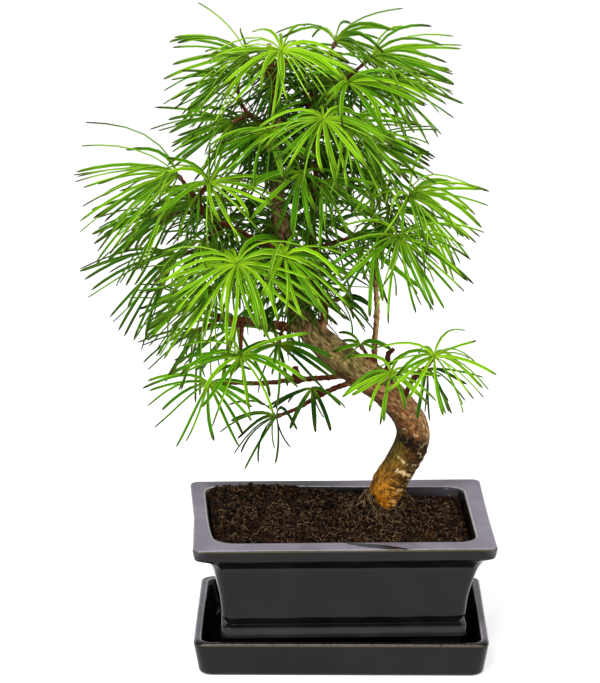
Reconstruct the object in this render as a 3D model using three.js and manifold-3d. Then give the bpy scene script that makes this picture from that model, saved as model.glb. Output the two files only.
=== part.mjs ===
// A golden larch bonsai in a rectangular glazed pot that stands on its saucer.
// Millimetres, +Z up. The origin is the middle of the saucer's flat base,
// +X is to the right of the tree's front, and +Y goes away from its front.
import * as THREE from "three";
import { mergeVertices } from "three/addons/utils/BufferGeometryUtils.js";
import Module from "manifold-3d";

const wasm = await Module();
wasm.setup();

// Driving dimensions
const GAP = 0.3; // air between neighbouring pieces
const SAUCER = { width: 152, depth: 104, corner: 6, height: 18.5, floor: 5.7 };
const POT = { width: 155, depth: 112, corner: 4, rim: 71, underside: 14, floor: 19.5, turn: 2 };
const FOOT = { length: 26, depth: 20, inset: 17, top: 22 };
const DRAIN = { radius: 6, offset: 32 };
const MESH = { side: 17, thick: 0.8, hole: 5.4, pitch: 7, count: 2 };
const SOIL = { level: 67.6, bottom: 21.2, gap: 0.45, points: 40, edge: 3, lip: 1, rows: [0, 7, 16, 27] };
const TRUNK_SIDES = 8;
const HOLE_ROOM = 0.35; // how much wider the soil's holes are than the wood that stands in them
const BUD = { foot: 1.3, waist: 2.5, tip: 0.9, length: 5, sides: 4, whorl: 2.9 };
const NEEDLE = { width: 2.4, thick: 1, rootWidth: 0.4, rootThick: 0.6, bend: 0.48 };

// Growing rule of the needles
const SEED = 20;
const ATTEMPTS = 36; // tries to find each needle a way of its own
const WAY = 2.7; // least distance between the middle lines of two needles
const CROWN_TOP = 338; // no needle rises past this height
const TURN_PLAY = 0.4; // share of a needle's step round the whorl that it may stray
const OPEN_PLAY = 16; // degrees that a needle may open or close
const INNER_RING = 0.62; // every second needle opens this share of the spread
const RISE = 0.55; // what is left of a needle's rise once its weight lays it flatter
const SAG = 0.85; // how far its weight bends the outer half down
const SHORTEST = 0.84; // share of a whorl's length that its shortest needle has
const STUNTED = 0.75; // what is left of a needle's length after half of the tries

const degrees = THREE.MathUtils.degToRad;
const at = (x, y, z) => new THREE.Vector3(x, y, z);

// Colour, roughness and metalness of each material
const MATERIALS = {
  glaze: { color: "#2f2c2b", roughness: 0.22, metalness: 0 },
  peat: { color: "#2c1b12", roughness: 0.95, metalness: 0 },
  plastic: { color: "#1d1f1d", roughness: 0.6, metalness: 0 },
  bark: { color: "#6d5536", roughness: 0.85, metalness: 0 },
  needle: { color: "#63b01c", roughness: 0.5, metalness: 0 },
};

function material(name) {
  const made = new THREE.MeshStandardMaterial({ ...MATERIALS[name], flatShading: true });
  made.name = name;
  return made;
}

function piece(name, geometry, finish) {
  const mesh = new THREE.Mesh(geometry, material(finish));
  mesh.name = name;
  return mesh;
}

// A closed geometry as a solid that can be joined and cut
function solid(geometry) {
  const bare = geometry.clone();
  bare.deleteAttribute("normal");
  bare.deleteAttribute("uv");
  const merged = mergeVertices(bare, 1e-4);
  return new wasm.Manifold(
    new wasm.Mesh({
      numProp: 3,
      vertProperties: merged.attributes.position.array,
      triVerts: new Uint32Array(merged.index.array),
    }),
  );
}

// The solid's surface as a geometry
function skin(body) {
  const mesh = body.getMesh();
  const geometry = new THREE.BufferGeometry();
  geometry.setAttribute("position", new THREE.BufferAttribute(mesh.vertProperties, 3));
  geometry.setIndex(new THREE.BufferAttribute(mesh.triVerts, 1));
  geometry.computeVertexNormals();
  return geometry;
}

// Bends a unit cylinder: place(ring, step, radial) gives the point for each of its vertices,
// where ring counts from the bottom, step goes round and radial is 0 on the axis or 1
function bendCylinder(steps, rings, place) {
  const geometry = new THREE.CylinderGeometry(1, 1, 1, steps, rings - 1);
  const position = geometry.attributes.position;
  const vertex = new THREE.Vector3();
  for (let i = 0; i < position.count; i += 1) {
    vertex.fromBufferAttribute(position, i);
    const ring = Math.round((vertex.y + 0.5) * (rings - 1));
    const turn = (Math.atan2(vertex.x, vertex.z) / (2 * Math.PI)) * steps;
    const radial = Math.round(Math.hypot(vertex.x, vertex.z));
    const point = place(ring, (Math.round(turn) + steps) % steps, radial);
    position.setXYZ(i, point.x, point.y, point.z);
  }
  return geometry;
}

// A closed body through rings of points that lie one above or inside the other
function stack(rings) {
  const centre = (ring) =>
    ring.reduce((sum, point) => sum.add(point), at(0, 0, 0)).divideScalar(ring.length);
  return bendCylinder(rings[0].length, rings.length, (ring, step, radial) =>
    radial ? rings[ring][step] : centre(rings[ring]),
  );
}

// A closed tube along a route whose girth is given at each of its points
function limb(route, girths, sides) {
  const path = new THREE.CatmullRomCurve3(route, false, "centripetal");
  const last = route.length - 1;
  const frames = framesAlong(path, last);
  return bendCylinder(sides, route.length, (ring, step, radial) => {
    const angle = (2 * Math.PI * step) / sides;
    const { normal, side } = frames[ring];
    return route[ring]
      .clone()
      .addScaledVector(normal, Math.sin(angle) * girths[ring] * radial)
      .addScaledVector(side, Math.cos(angle) * girths[ring] * radial);
  });
}

// Cross directions at each point of a route, turned as little as can be
function framesAlong(path, last) {
  const frames = [];
  let normal = at(1, 0, 0);
  for (let i = 0; i <= last; i += 1) {
    const tangent = path.getTangent(i / last);
    if (i === 0 && Math.abs(tangent.x) > 0.8) normal = at(0, 1, 0);
    normal = normal.clone().addScaledVector(tangent, -normal.dot(tangent)).normalize();
    frames.push({ normal, side: normal.clone().cross(tangent) });
  }
  return frames;
}

// Points round a rectangle with rounded corners
function outline(width, depth, radius) {
  const x = width / 2 - radius;
  const y = depth / 2 - radius;
  const shape = new THREE.Shape();
  shape.absarc(x, y, radius, 0, Math.PI / 2);
  shape.absarc(-x, y, radius, Math.PI / 2, Math.PI);
  shape.absarc(-x, -y, radius, Math.PI, Math.PI * 1.5);
  shape.absarc(x, -y, radius, Math.PI * 1.5, Math.PI * 2);
  shape.closePath();
  return shape;
}

// A ring of an outline set in from a body's outer size, at one height
function ring(body, inset, z, corner = body.corner) {
  const shape = outline(body.width - 2 * inset, body.depth - 2 * inset, corner);
  return shape.getPoints(2).slice(0, -1).map((point) => at(point.x, point.y, z));
}

// Saucer: a shallow tray, from the middle of its base out, over its rim and down to its floor
function saucer() {
  const { height, floor } = SAUCER;
  return stack([
    ring(SAUCER, 4.2, 0),
    ring(SAUCER, 2.8, 1.2),
    ring(SAUCER, 0.2, height - 2.2),
    ring(SAUCER, 0, height - 0.9),
    ring(SAUCER, 0.8, height),
    ring(SAUCER, 2.4, height),
    ring(SAUCER, 3.2, height - 0.9, 8),
    ring(SAUCER, 4.4, floor + 2.5, 8),
    ring(SAUCER, 6.4, floor, 7),
  ]);
}

// The pot's walls, as pairs of height and inset from the lip
const POT_OUTSIDE = [
  [POT.underside, 19],
  [20.6, 18.4],
  [20.6, 15.4],
  [27, 14.3],
  [28.4, 15.4],
  [38.7, 13.8],
  [46.5, 11.8],
  [55.6, 9.1],
  [61.4, 5.4],
  [65, 0.9],
  [69.8, 0],
  [POT.rim, 0.9],
];
const POT_INSIDE = [
  [POT.rim, 9.2],
  [69.8, 10.2],
  [61, 12],
  [50, 15],
  [35, 18.5],
  [25, 19.5],
  [21, 22],
  [POT.floor, 26],
];
const POT_INNER_CORNER = 10;

// Inset of a wall at one height
function insetAt(wall, z) {
  const above = wall.findLastIndex(([height]) => height >= z);
  const [top, outer] = wall[above];
  const [low, inner] = wall[above + 1];
  return THREE.MathUtils.mapLinear(z, low, top, inner, outer);
}

// Pot: the outer body with its feet, less the space inside and the drain holes in the floor
function pot() {
  const outside = POT_OUTSIDE.map(([z, inset]) => ring(POT, inset, z));
  const [mouth] = POT_INSIDE;
  const inside = [...POT_INSIDE].reverse().concat([[mouth[0] + 1, mouth[1] - 1]]);
  const space = inside.map(([z, inset]) => ring(POT, inset, z, POT_INNER_CORNER));
  let body = solid(stack(outside));
  for (const side of [-1, 1]) {
    for (const end of [-1, 1]) body = body.add(solid(foot(end, side)));
  }
  body = body.subtract(solid(stack(space)));
  for (const side of [-1, 1]) body = body.subtract(solid(drainHole(side)));
  return skin(body);
}

// One corner foot, from the saucer's floor up into the pot's underside
function foot(end, side) {
  const low = SAUCER.floor + GAP;
  const block = new THREE.BoxGeometry(FOOT.length, FOOT.depth, FOOT.top - low);
  block.translate(
    end * (POT.width / 2 - FOOT.inset - FOOT.length / 2),
    side * (POT.depth / 2 - FOOT.inset - FOOT.depth / 2),
    (FOOT.top + low) / 2,
  );
  return block;
}

function drainHole(side) {
  const hole = new THREE.CylinderGeometry(DRAIN.radius, DRAIN.radius, POT.floor, 16);
  hole.rotateX(Math.PI / 2);
  hole.translate(side * DRAIN.offset, 0, POT.floor);
  return hole;
}

// Drain mesh: a square of plastic netting laid over a drain hole
function drainMesh() {
  const { side, thick, hole, pitch, count } = MESH;
  const middle = (count - 1) / 2;
  let net = solid(new THREE.BoxGeometry(side, side, thick));
  for (let row = 0; row < count; row += 1) {
    for (let column = 0; column < count; column += 1) {
      const opening = new THREE.BoxGeometry(hole, hole, 2 * thick);
      opening.translate((column - middle) * pitch, (row - middle) * pitch, 0);
      net = net.subtract(solid(opening));
    }
  }
  return skin(net);
}

// Height of the soil's surface: heaped at the left and round the trunk, low at the back right
function soilHeight(x, y) {
  const slope = -0.016 * x - 0.012 * y;
  const mound = 3.2 * Math.exp(-((x - 24) ** 2 + (y - 20) ** 2) / 340);
  const swell = 0.5 * Math.sin(x / 9) * Math.cos(y / 7);
  return SOIL.level + slope + mound + swell;
}

// Soil: it fills the pot, with an uneven top and plain holes for the trunk's foot and roots
function soil(holes) {
  const spaced = (inset, height) => {
    const shape = outline(POT.width - 2 * inset, POT.depth - 2 * inset, POT_INNER_CORNER);
    const points = shape.getSpacedPoints(SOIL.points).slice(0, SOIL.points);
    return points.map(({ x, y }) => at(x, y, height(x, y)));
  };
  const beside = (z) => spaced(insetAt(POT_INSIDE, z) + SOIL.gap, () => z);
  const walls = [SOIL.bottom, 35, 50, 61].map(beside);
  const edge = insetAt(POT_INSIDE, SOIL.level - SOIL.edge) + SOIL.gap;
  const top = SOIL.rows.map((inward) => {
    const row = spaced(edge + inward, soilHeight);
    return inward ? row : row.map((point) => point.setZ(point.z - SOIL.lip));
  });
  const body = solid(stack([...walls, ...top]));
  return skin(holes.reduce((rest, hole) => rest.subtract(hole), body));
}

// Tree. Routes run from the middle of what a limb grows out of to its own end.
const TRUNK = {
  route: [
    [14, 20, 36], [17, 21, 48], [20, 22, 60], [23, 21, 70], [26, 20, 83], [32, 19, 94],
    [37, 17, 105], [37, 14, 116], [31, 11, 126], [23, 8, 136], [13, 5, 145], [2, 3, 153],
    [-9, 1, 163], [-17, 0, 172], [-23, 0, 184], [-27, 0, 197], [-30, 0, 213], [-32, 0, 227],
    [-33, 0, 243], [-34, 0, 260], [-33, 0, 276], [-34, 0, 292], [-36, 0, 307], [-37, 0, 319],
  ],
  girths: [
    6, 8, 9.6, 9.7, 9.1, 8.7, 8.9, 8.2, 7.8, 8, 8.3, 8, 7.4, 6.6, 5.6, 5, 4.5, 4.2, 3.7, 3.2,
    2.8, 2.3, 1.8, 1.2,
  ],
};

// Surface roots, which leave the trunk's foot and go down into the soil
const ROOTS = [
  { route: [[21, 20, 73], [12, 17, 70], [3, 14, 64], [-4, 12, 55]], girth: [4.6, 1.6] },
  { route: [[25, 20, 72], [28, 12, 69], [32, 5, 62]], girth: [4.2, 1.8] },
  { route: [[24, 22, 72], [27, 30, 68], [31, 37, 60]], girth: [4.4, 1.8] },
];

// Limbs that carry others, and stubs with no needles of their own
const STEMS = [
  {
    route: [
      [-12, 0, 168], [-9, -2, 178], [-10, -4, 188], [-14, -6, 200], [-16, -8, 216],
      [-15, -8, 235], [-14, -8, 248], [-13, -7, 261], [-15, -5, 276], [-18, -2, 291], [-21, 1, 312],
    ],
    girth: [3.4, 1.3],
  },
  { route: [[-23, -2, 145], [-24, -3, 152]], girth: [2.2, 1.5] },
  { route: [[22, 6, 140], [24, 5, 152], [24, 4, 157], [27, 3, 160]], girth: [2.4, 1.5] },
  { route: [[-14, -6, 272], [-11, -9, 288]], girth: [1.6, 1.2] },
  { route: [[18, -4, 212], [20, -6, 222], [19, -7, 229]], girth: [1.5, 1.2] },
];

// Shoots that end in a whorl of needles, the nearest to the front and the tips of the crown first.
// axis is the way that the whorl faces, spread is how far in degrees its needles open from it.
const SHOOTS = [
  {
    name: "right_tip", girth: [2.7, 1.5],
    route: [
      [17, 5, 148], [17, 2, 165], [18, 0, 180], [17, -3, 204], [18, -4, 213], [23, -6, 224],
      [27, -9, 232], [32, -12, 241],
    ],
    axis: [9, -3, 3], spread: 72, length: 48, count: 13,
  },
  {
    name: "left_tip", girth: [2.6, 1.4],
    route: [
      [-30, 0, 213], [-41, -2, 217], [-52, -4, 223], [-61, -5, 228], [-68, -7, 231],
      [-73, -9, 240], [-81, -12, 252],
    ],
    axis: [-10, -2, 1], spread: 62, length: 61, count: 13,
  },
  {
    name: "left_middle_end", girth: [3.6, 1.6],
    route: [[-17, 0, 171], [-32, -4, 174], [-44, -8, 177], [-59, -9, 179], [-68, -6, 181], [-76, 5, 181]],
    axis: [-9, 2, 2], spread: 60, length: 34, count: 8,
  },
  {
    name: "low_left_front", girth: [2.3, 1.3],
    route: [[9, 4, 147], [-6, 2, 145], [-22, -2, 145], [-43, -10, 145], [-55, -16, 147], [-65, -21, 148]],
    axis: [-2, -8, 4], spread: 78, length: 38, count: 11,
  },
  {
    name: "low_knobbly", girth: [2.2, 1.3],
    route: [[11, 5, 143], [-4, 2, 139], [-14, -2, 135], [-22, -6, 131], [-31, -9, 128]],
    axis: [-7, -4, 3], spread: 66, length: 34, count: 8,
  },
  {
    name: "heart_front", girth: [1.8, 1.4],
    route: [[-14, -7, 268], [-12, -22, 278], [-10, -36, 286]],
    axis: [1, -6, 7], spread: 80, length: 44, count: 13,
  },
  {
    name: "belly_front", girth: [2.2, 1.5],
    route: [[-28, 0, 205], [-37, -14, 209], [-45, -29, 213], [-51, -40, 215]],
    axis: [0, -6, 8], spread: 84, length: 48, count: 15,
  },
  {
    name: "belly_middle", girth: [2, 1.4],
    route: [[-28, 0, 203], [-29, -18, 211], [-29, -35, 217]],
    axis: [3, -6, 7], spread: 80, length: 44, count: 11,
  },
  {
    name: "top_front", girth: [1.7, 1.2],
    route: [[-35, 0, 300], [-33, -8, 309], [-31, -15, 316]],
    axis: [2, -6, 7], spread: 80, length: 42, count: 11,
  },
  {
    name: "top_left", girth: [1.6, 1.2],
    route: [[-35, 0, 300], [-40, 1, 306], [-45, 3, 309]],
    axis: [-10, -2, 3], spread: 60, length: 50, count: 11,
  },
  {
    name: "right_low_front", girth: [2, 1.4],
    route: [[32, 9, 128], [35, 0, 141], [39, -8, 150], [44, -14, 156], [46, -20, 161]],
    axis: [3, -5, 8], spread: 80, length: 36, count: 11,
  },
  {
    name: "bend_front", girth: [1.8, 1.3],
    route: [[21, 7, 139], [25, -6, 145], [25, -15, 151]],
    axis: [-1, -7, 6], spread: 78, length: 31, count: 8,
  },
  {
    name: "low_left_inner", girth: [1.7, 1.3],
    route: [[-51, -8, 178], [-51, -22, 174], [-51, -34, 168]],
    axis: [0, -7, 5], spread: 78, length: 40, count: 11,
  },
  {
    name: "left_front", girth: [1.6, 1.3],
    route: [[-73, -9, 240], [-71, -13, 246], [-68, -18, 250]],
    axis: [4, -5, 8], spread: 74, length: 44, count: 11,
  },
  {
    name: "left_low_tip", girth: [1.8, 1.3],
    route: [[-53, -3, 223], [-66, 5, 214], [-82, 9, 209]],
    axis: [-10, -1, -2], spread: 60, length: 58, count: 11,
  },
  {
    name: "left_middle", girth: [1.6, 1.3],
    route: [[-71, -8, 235], [-78, -3, 233], [-84, 0, 232]],
    axis: [-10, -2, 0], spread: 58, length: 50, count: 10,
  },
  {
    name: "belly_left", girth: [1.7, 1.3],
    route: [[-42, -22, 211], [-53, -20, 203], [-62, -17, 198]],
    axis: [-9, -4, -1], spread: 64, length: 46, count: 11,
  },
  {
    name: "top_right_tip", girth: [1.7, 1.2],
    route: [[-17, -3, 286], [-4, -4, 297], [6, -5, 306], [12, -5, 311]],
    axis: [10, -1, 3], spread: 58, length: 50, count: 11,
  },
  {
    name: "right_lower_front", girth: [1.6, 1.3],
    route: [[22, -6, 222], [27, -18, 224]],
    axis: [6, -7, 1], spread: 74, length: 46, count: 11,
  },
  {
    name: "right_star", girth: [1.6, 1.3],
    route: [[17, -3, 206], [16, -16, 214]],
    axis: [-1, -9, 2], spread: 76, length: 35, count: 9,
  },
  {
    name: "top_right", girth: [1.6, 1.2],
    route: [[-18, -2, 289], [-11, 4, 302], [-5, 8, 316]],
    axis: [8, 2, 7], spread: 62, length: 42, count: 11,
  },
  {
    name: "shoulder_right_front", girth: [1.5, 1.3],
    route: [[-10, 0, 293], [1, -20, 302]],
    axis: [6, -6, 4], spread: 70, length: 44, count: 10,
  },
  {
    name: "shoulder_right", girth: [1.6, 1.3],
    route: [[-4, -4, 297], [8, 5, 297], [16, 10, 298]],
    axis: [10, 1, 1], spread: 60, length: 46, count: 10,
  },
  {
    name: "heart_right", girth: [1.6, 1.3],
    route: [[-12, -21, 277], [-2, -26, 282]],
    axis: [9, -5, 2], spread: 64, length: 46, count: 10,
  },
  {
    name: "heart_right_low", girth: [1.7, 1.3],
    route: [[-13, -7, 259], [-4, -2, 262], [8, 1, 267]],
    axis: [10, -2, 0], spread: 62, length: 44, count: 10,
  },
  {
    name: "left_shoulder", girth: [1.7, 1.2],
    route: [[-34, 0, 268], [-41, -1, 278], [-48, 0, 284], [-52, 2, 290], [-53, 5, 297]],
    axis: [-10, -1, 2], spread: 58, length: 40, count: 9,
  },
  {
    name: "left_shoulder_low", girth: [1.5, 1.2],
    route: [[-47, 0, 283], [-53, -6, 281]],
    axis: [-10, -3, 0], spread: 62, length: 44, count: 9,
  },
  {
    name: "heart_left", girth: [1.6, 1.3],
    route: [[-34, 0, 268], [-36, -15, 276]],
    axis: [-3, -8, 3], spread: 76, length: 36, count: 8,
  },
  {
    name: "middle_front", girth: [1.5, 1.2],
    route: [[-14, -8, 246], [-20, -20, 256]],
    axis: [-3, -9, 1], spread: 74, length: 36, count: 8,
  },
  {
    name: "middle_right", girth: [1.5, 1.2],
    route: [[-14, -8, 244], [-11, -20, 251]],
    axis: [8, -6, 1], spread: 62, length: 38, count: 8,
  },
  {
    name: "left_under", girth: [1.5, 1.2],
    route: [[-61, -5, 227], [-68, -12, 222]],
    axis: [-7, -6, -4], spread: 66, length: 44, count: 9,
  },
  {
    name: "right_inner", girth: [1.5, 1.2],
    route: [[26, -8, 230], [22, -6, 240], [20, -5, 247]],
    axis: [-4, -4, 7], spread: 70, length: 38, count: 8,
  },
  {
    name: "middle_low_right", girth: [1.6, 1.2],
    route: [[-15, -7, 214], [-6, -6, 218], [2, -5, 220]],
    axis: [8, -5, 2], spread: 62, length: 30, count: 8,
  },
  {
    name: "left_middle_under", girth: [1.6, 1.3],
    route: [[-61, -9, 180], [-70, -12, 175]],
    axis: [-8, -3, -4], spread: 66, length: 38, count: 8,
  },
  {
    name: "low_middle_front", girth: [1.6, 1.3],
    route: [[-30, -4, 174], [-32, -16, 169]],
    axis: [1, -8, 3], spread: 76, length: 36, count: 8,
  },
  {
    name: "low_middle_under", girth: [1.4, 1.2],
    route: [[-10, 0, 137], [-14, -7, 141]],
    axis: [-1, -7, -2], spread: 76, length: 26, count: 7,
  },
  {
    name: "right_low_under", girth: [1.5, 1.3],
    route: [[37, -4, 146], [42, -5, 150]],
    axis: [4, -4, -5], spread: 66, length: 30, count: 7,
  },
  {
    name: "fork_small", girth: [1.7, 1.3],
    route: [[16, 3, 152], [11, -1, 161]],
    axis: [-5, -3, 7], spread: 60, length: 20, count: 6,
  },
  {
    name: "stem_small", girth: [1.5, 1.2],
    route: [[-10, -4, 187], [-4, -5, 188]],
    axis: [9, -2, 1], spread: 50, length: 24, count: 6,
  },
  {
    name: "top_back", girth: [1.6, 1.2],
    route: [[-34, 0, 292], [-32, 18, 298], [-29, 32, 303]],
    axis: [1, 7, 7], spread: 76, length: 42, count: 11,
  },
  {
    name: "shoulder_right_back", girth: [1.6, 1.2],
    route: [[-18, -2, 289], [-10, 18, 290], [-4, 35, 293]],
    axis: [4, 8, 4], spread: 74, length: 42, count: 10,
  },
  {
    name: "shoulder_left_back", girth: [1.7, 1.3],
    route: [[-34, 0, 263], [-41, 18, 265], [-47, 36, 268]],
    axis: [-4, 8, 4], spread: 74, length: 42, count: 10,
  },
  {
    name: "heart_back", girth: [1.6, 1.3],
    route: [[-13, -7, 257], [-17, 18, 254], [-21, 38, 255]],
    axis: [0, 9, 3], spread: 76, length: 42, count: 10,
  },
  {
    name: "heart_right_back", girth: [1.5, 1.2],
    route: [[-4, -2, 261], [1, 16, 260], [6, 30, 260]],
    axis: [6, 7, 2], spread: 72, length: 42, count: 9,
  },
  {
    name: "left_back", girth: [1.7, 1.3],
    route: [[-33, 0, 238], [-45, 15, 233], [-59, 33, 232]],
    axis: [-6, 8, 3], spread: 72, length: 44, count: 10,
  },
  {
    name: "left_upper_back", girth: [1.6, 1.3],
    route: [[-53, -3, 223], [-62, 10, 227], [-73, 20, 232]],
    axis: [-8, 5, 4], spread: 68, length: 44, count: 10,
  },
  {
    name: "belly_back", girth: [1.7, 1.3],
    route: [[-32, 0, 222], [-31, 20, 220], [-28, 38, 220]],
    axis: [1, 9, 2], spread: 76, length: 42, count: 10,
  },
  {
    name: "belly_left_back", girth: [1.7, 1.3],
    route: [[-28, 0, 202], [-38, 18, 200], [-51, 34, 200]],
    axis: [-5, 8, 2], spread: 74, length: 42, count: 10,
  },
  {
    name: "right_back", girth: [1.6, 1.2],
    route: [[18, -4, 211], [18, 14, 216], [17, 30, 222]],
    axis: [4, 8, 4], spread: 74, length: 42, count: 10,
  },
  {
    name: "low_middle_back", girth: [1.7, 1.3],
    route: [[-25, 0, 188], [-26, 18, 184], [-28, 33, 182]],
    axis: [1, 9, 1], spread: 74, length: 40, count: 9,
  },
  {
    name: "low_left_back", girth: [1.6, 1.3],
    route: [[-44, -8, 177], [-49, 8, 172], [-54, 22, 167]],
    axis: [-4, 8, 0], spread: 74, length: 40, count: 9,
  },
];

// A girth for each point of a route, tapering evenly from one end to the other
function taper(route, [from, to]) {
  return route.map((_, i) => THREE.MathUtils.lerp(from, to, i / (route.length - 1)));
}

// Few sides on a thin shoot, more on a thick one
function sidesFor(girth) {
  return girth > 2.5 ? 6 : girth > 2.1 ? 5 : 4;
}

function points(route) {
  return route.map((place) => at(...place));
}

// The tree's wood: trunk, roots, stems and shoots, joined where they grow out of each other
function wood() {
  let tree = solid(limb(points(TRUNK.route), TRUNK.girths, TRUNK_SIDES));
  for (const { route, girth } of [...ROOTS, ...STEMS, ...SHOOTS]) {
    tree = tree.add(solid(limb(points(route), taper(route, girth), sidesFor(girth[0]))));
  }
  return skin(tree);
}

// Holes that the trunk's foot and the roots stand in, turned with the pot
function soilHoles() {
  const hole = (route, girths, sides) => {
    const deep = points(route);
    const [end, next] = girths[0] > girths.at(-1) ? [deep.at(-1), deep.at(-2)] : deep;
    end.addScaledVector(end.clone().sub(next).normalize(), GAP);
    const geometry = limb(deep, girths.map((girth) => girth + HOLE_ROOM), sides);
    return solid(geometry.rotateZ(-degrees(POT.turn)));
  };
  return [
    hole(TRUNK.route.slice(0, 6), TRUNK.girths.slice(0, 6), TRUNK_SIDES),
    ...ROOTS.map(({ route, girth }) => hole(route, taper(route, girth), sidesFor(girth[0]))),
  ];
}

// Even random numbers from 0 to 1 that are the same on each run
function seeded(seed) {
  let state = seed;
  return () => {
    state = (Math.imul(state, 1664525) + 1013904223) >>> 0;
    return state / 4294967296;
  };
}

// Least distance between two straight stretches a-b and c-d
function distance(a, b, c, d) {
  const u = b.clone().sub(a);
  const v = d.clone().sub(c);
  const w = a.clone().sub(c);
  const uu = u.dot(u);
  const vv = v.dot(v);
  const uv = u.dot(v);
  const uw = u.dot(w);
  const vw = v.dot(w);
  const clamp = THREE.MathUtils.clamp;
  const across = uu * vv - uv * uv;
  let s = across > 1e-9 ? clamp((uv * vw - vv * uw) / across, 0, 1) : 0;
  let t = (uv * s + vw) / vv;
  if (t < 0 || t > 1) {
    t = clamp(t, 0, 1);
    s = clamp((uv * t - uw) / uu, 0, 1);
  }
  return w.addScaledVector(u, s).addScaledVector(v, -t).length();
}

// The tree's limbs as straight stretches with their girths, which the needles keep clear of
function limbStretches() {
  const stretches = [];
  const add = (route, girths, name) => {
    for (let i = 1; i < route.length; i += 1) {
      const last = i === route.length - 1;
      const girth = last ? girths[i] : girths[i - 1];
      const shoot = last ? name : null;
      stretches.push({ from: at(...route[i - 1]), to: at(...route[i]), girth, shoot });
    }
  };
  add(TRUNK.route, TRUNK.girths, "trunk");
  for (const { name, route, girth } of [...STEMS, ...SHOOTS]) add(route, taper(route, girth), name);
  return stretches;
}

// One needle's middle line: root in the bud, bend, and tip pulled down by its weight
function needleRoute(shoot, turn, open, length) {
  const { seat, along, axis, across, side } = shoot;
  const root = seat.clone().addScaledVector(along, BUD.whorl);
  const start = axis
    .clone()
    .multiplyScalar(Math.cos(open))
    .addScaledVector(across, Math.sin(open) * Math.cos(turn))
    .addScaledVector(side, Math.sin(open) * Math.sin(turn));
  if (start.z > 0) start.setZ(start.z * RISE).normalize();
  const end = start.clone().add(at(0, 0, -SAG)).normalize();
  const bend = root.clone().addScaledVector(start, length * NEEDLE.bend);
  const tip = bend.clone().addScaledVector(end, length * (1 - NEEDLE.bend));
  return [root, bend, tip];
}

// Where a shoot ends, and the directions that its whorl is laid out in
function frameOf({ route, axis, ...rest }) {
  const [before, seat] = points(route.slice(-2));
  const along = seat.clone().sub(before).normalize();
  const facing = at(...axis).normalize();
  const across = facing.clone().cross(at(0, 0, 1)).normalize();
  const side = facing.clone().cross(across);
  return { ...rest, seat, along, axis: facing, across, side };
}

// Grows every whorl: each needle is drawn at its place round the bud, and drawn again
// until it keeps clear of the wood and of the needles and buds of the other whorls
function growNeedles() {
  const random = seeded(SEED);
  const limbs = limbStretches();
  const shoots = SHOOTS.map(frameOf);
  for (const shoot of shoots) {
    shoot.bud = [0, BUD.length].map((up) => shoot.seat.clone().addScaledVector(shoot.along, up));
    shoot.needles = [];
  }
  const near = (one, other) => one.seat.distanceTo(other.seat) < one.length + other.length + WAY;
  for (const shoot of shoots) {
    const others = shoots.filter((other) => other !== shoot && near(shoot, other));
    for (let i = 0; i < shoot.count; i += 1) {
      for (let attempt = 0; attempt < ATTEMPTS; attempt += 1) {
        const turn = (2 * Math.PI * (i + (random() - 0.5) * TURN_PLAY)) / shoot.count;
        const open = shoot.spread * (i % 2 ? INNER_RING : 1) + (random() - 0.5) * OPEN_PLAY;
        const grown = SHORTEST + (1 - SHORTEST) * random();
        const length = shoot.length * grown * (attempt < ATTEMPTS / 2 ? 1 : STUNTED);
        const route = needleRoute(shoot, turn, degrees(open), length);
        if (keepsClear(route, shoot.name, limbs, others)) {
          shoot.needles.push(route);
          break;
        }
      }
    }
  }
  return shoots;
}

function keepsClear(route, own, limbs, others) {
  if (Math.max(route[1].z, route[2].z) > CROWN_TOP) return false;
  for (const [a, b] of [[route[0], route[1]], [route[1], route[2]]]) {
    for (const { from, to, girth, shoot } of limbs) {
      const room = shoot === own ? NEEDLE.rootThick : NEEDLE.width / 2;
      if (distance(a, b, from, to) < girth + room + GAP) return false;
    }
    for (const { bud, needles } of others) {
      if (distance(a, b, bud[0], bud[1]) < BUD.waist + NEEDLE.width / 2 + GAP) return false;
      for (const [root, bend, tip] of needles) {
        if (distance(a, b, root, bend) < WAY || distance(a, b, bend, tip) < WAY) return false;
      }
    }
  }
  return true;
}

// One needle: a blade with three sides, flat below and ridged above, narrow at its root
function needle([root, bend, tip]) {
  const along = tip.clone().sub(root).normalize();
  const wide = along.clone().cross(at(0, 0, 1)).normalize();
  const up = wide.clone().cross(along);
  const section = [
    [root, NEEDLE.rootWidth, NEEDLE.rootThick],
    [bend, NEEDLE.width, NEEDLE.thick],
    [tip, 0, 0],
  ];
  return bendCylinder(3, 3, (ring, step, radial) => {
    const [centre, width, thick] = section[ring];
    const point = centre.clone();
    if (!radial) return point;
    if (step === 0) return point.addScaledVector(up, thick / 2);
    return point
      .addScaledVector(wide, (step === 1 ? width : -width) / 2)
      .addScaledVector(up, -thick / 2);
  });
}

// One whorl: the bud at the end of its shoot with all its needles grown into it
function tuft({ seat, along, needles }) {
  const heights = [GAP, BUD.whorl, GAP + BUD.length];
  const route = heights.map((height) => seat.clone().addScaledVector(along, height));
  const bud = solid(limb(route, [BUD.foot, BUD.waist, BUD.tip], BUD.sides));
  return skin(needles.reduce((body, middle) => body.add(solid(needle(middle))), bud));
}

const bonsai = new THREE.Group();
bonsai.name = "golden_larch_bonsai";
bonsai.add(piece("saucer", saucer(), "glaze"));

const planter = new THREE.Group();
planter.rotation.z = degrees(POT.turn);
planter.add(piece("pot", pot(), "glaze"));
for (const [name, side] of [["left", -1], ["right", 1]]) {
  const mesh = piece("drain_mesh_" + name, drainMesh(), "plastic");
  mesh.position.set(side * DRAIN.offset, 0, POT.floor + GAP + MESH.thick / 2);
  planter.add(mesh);
}
planter.add(piece("soil", soil(soilHoles()), "peat"));
bonsai.add(planter);

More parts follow.
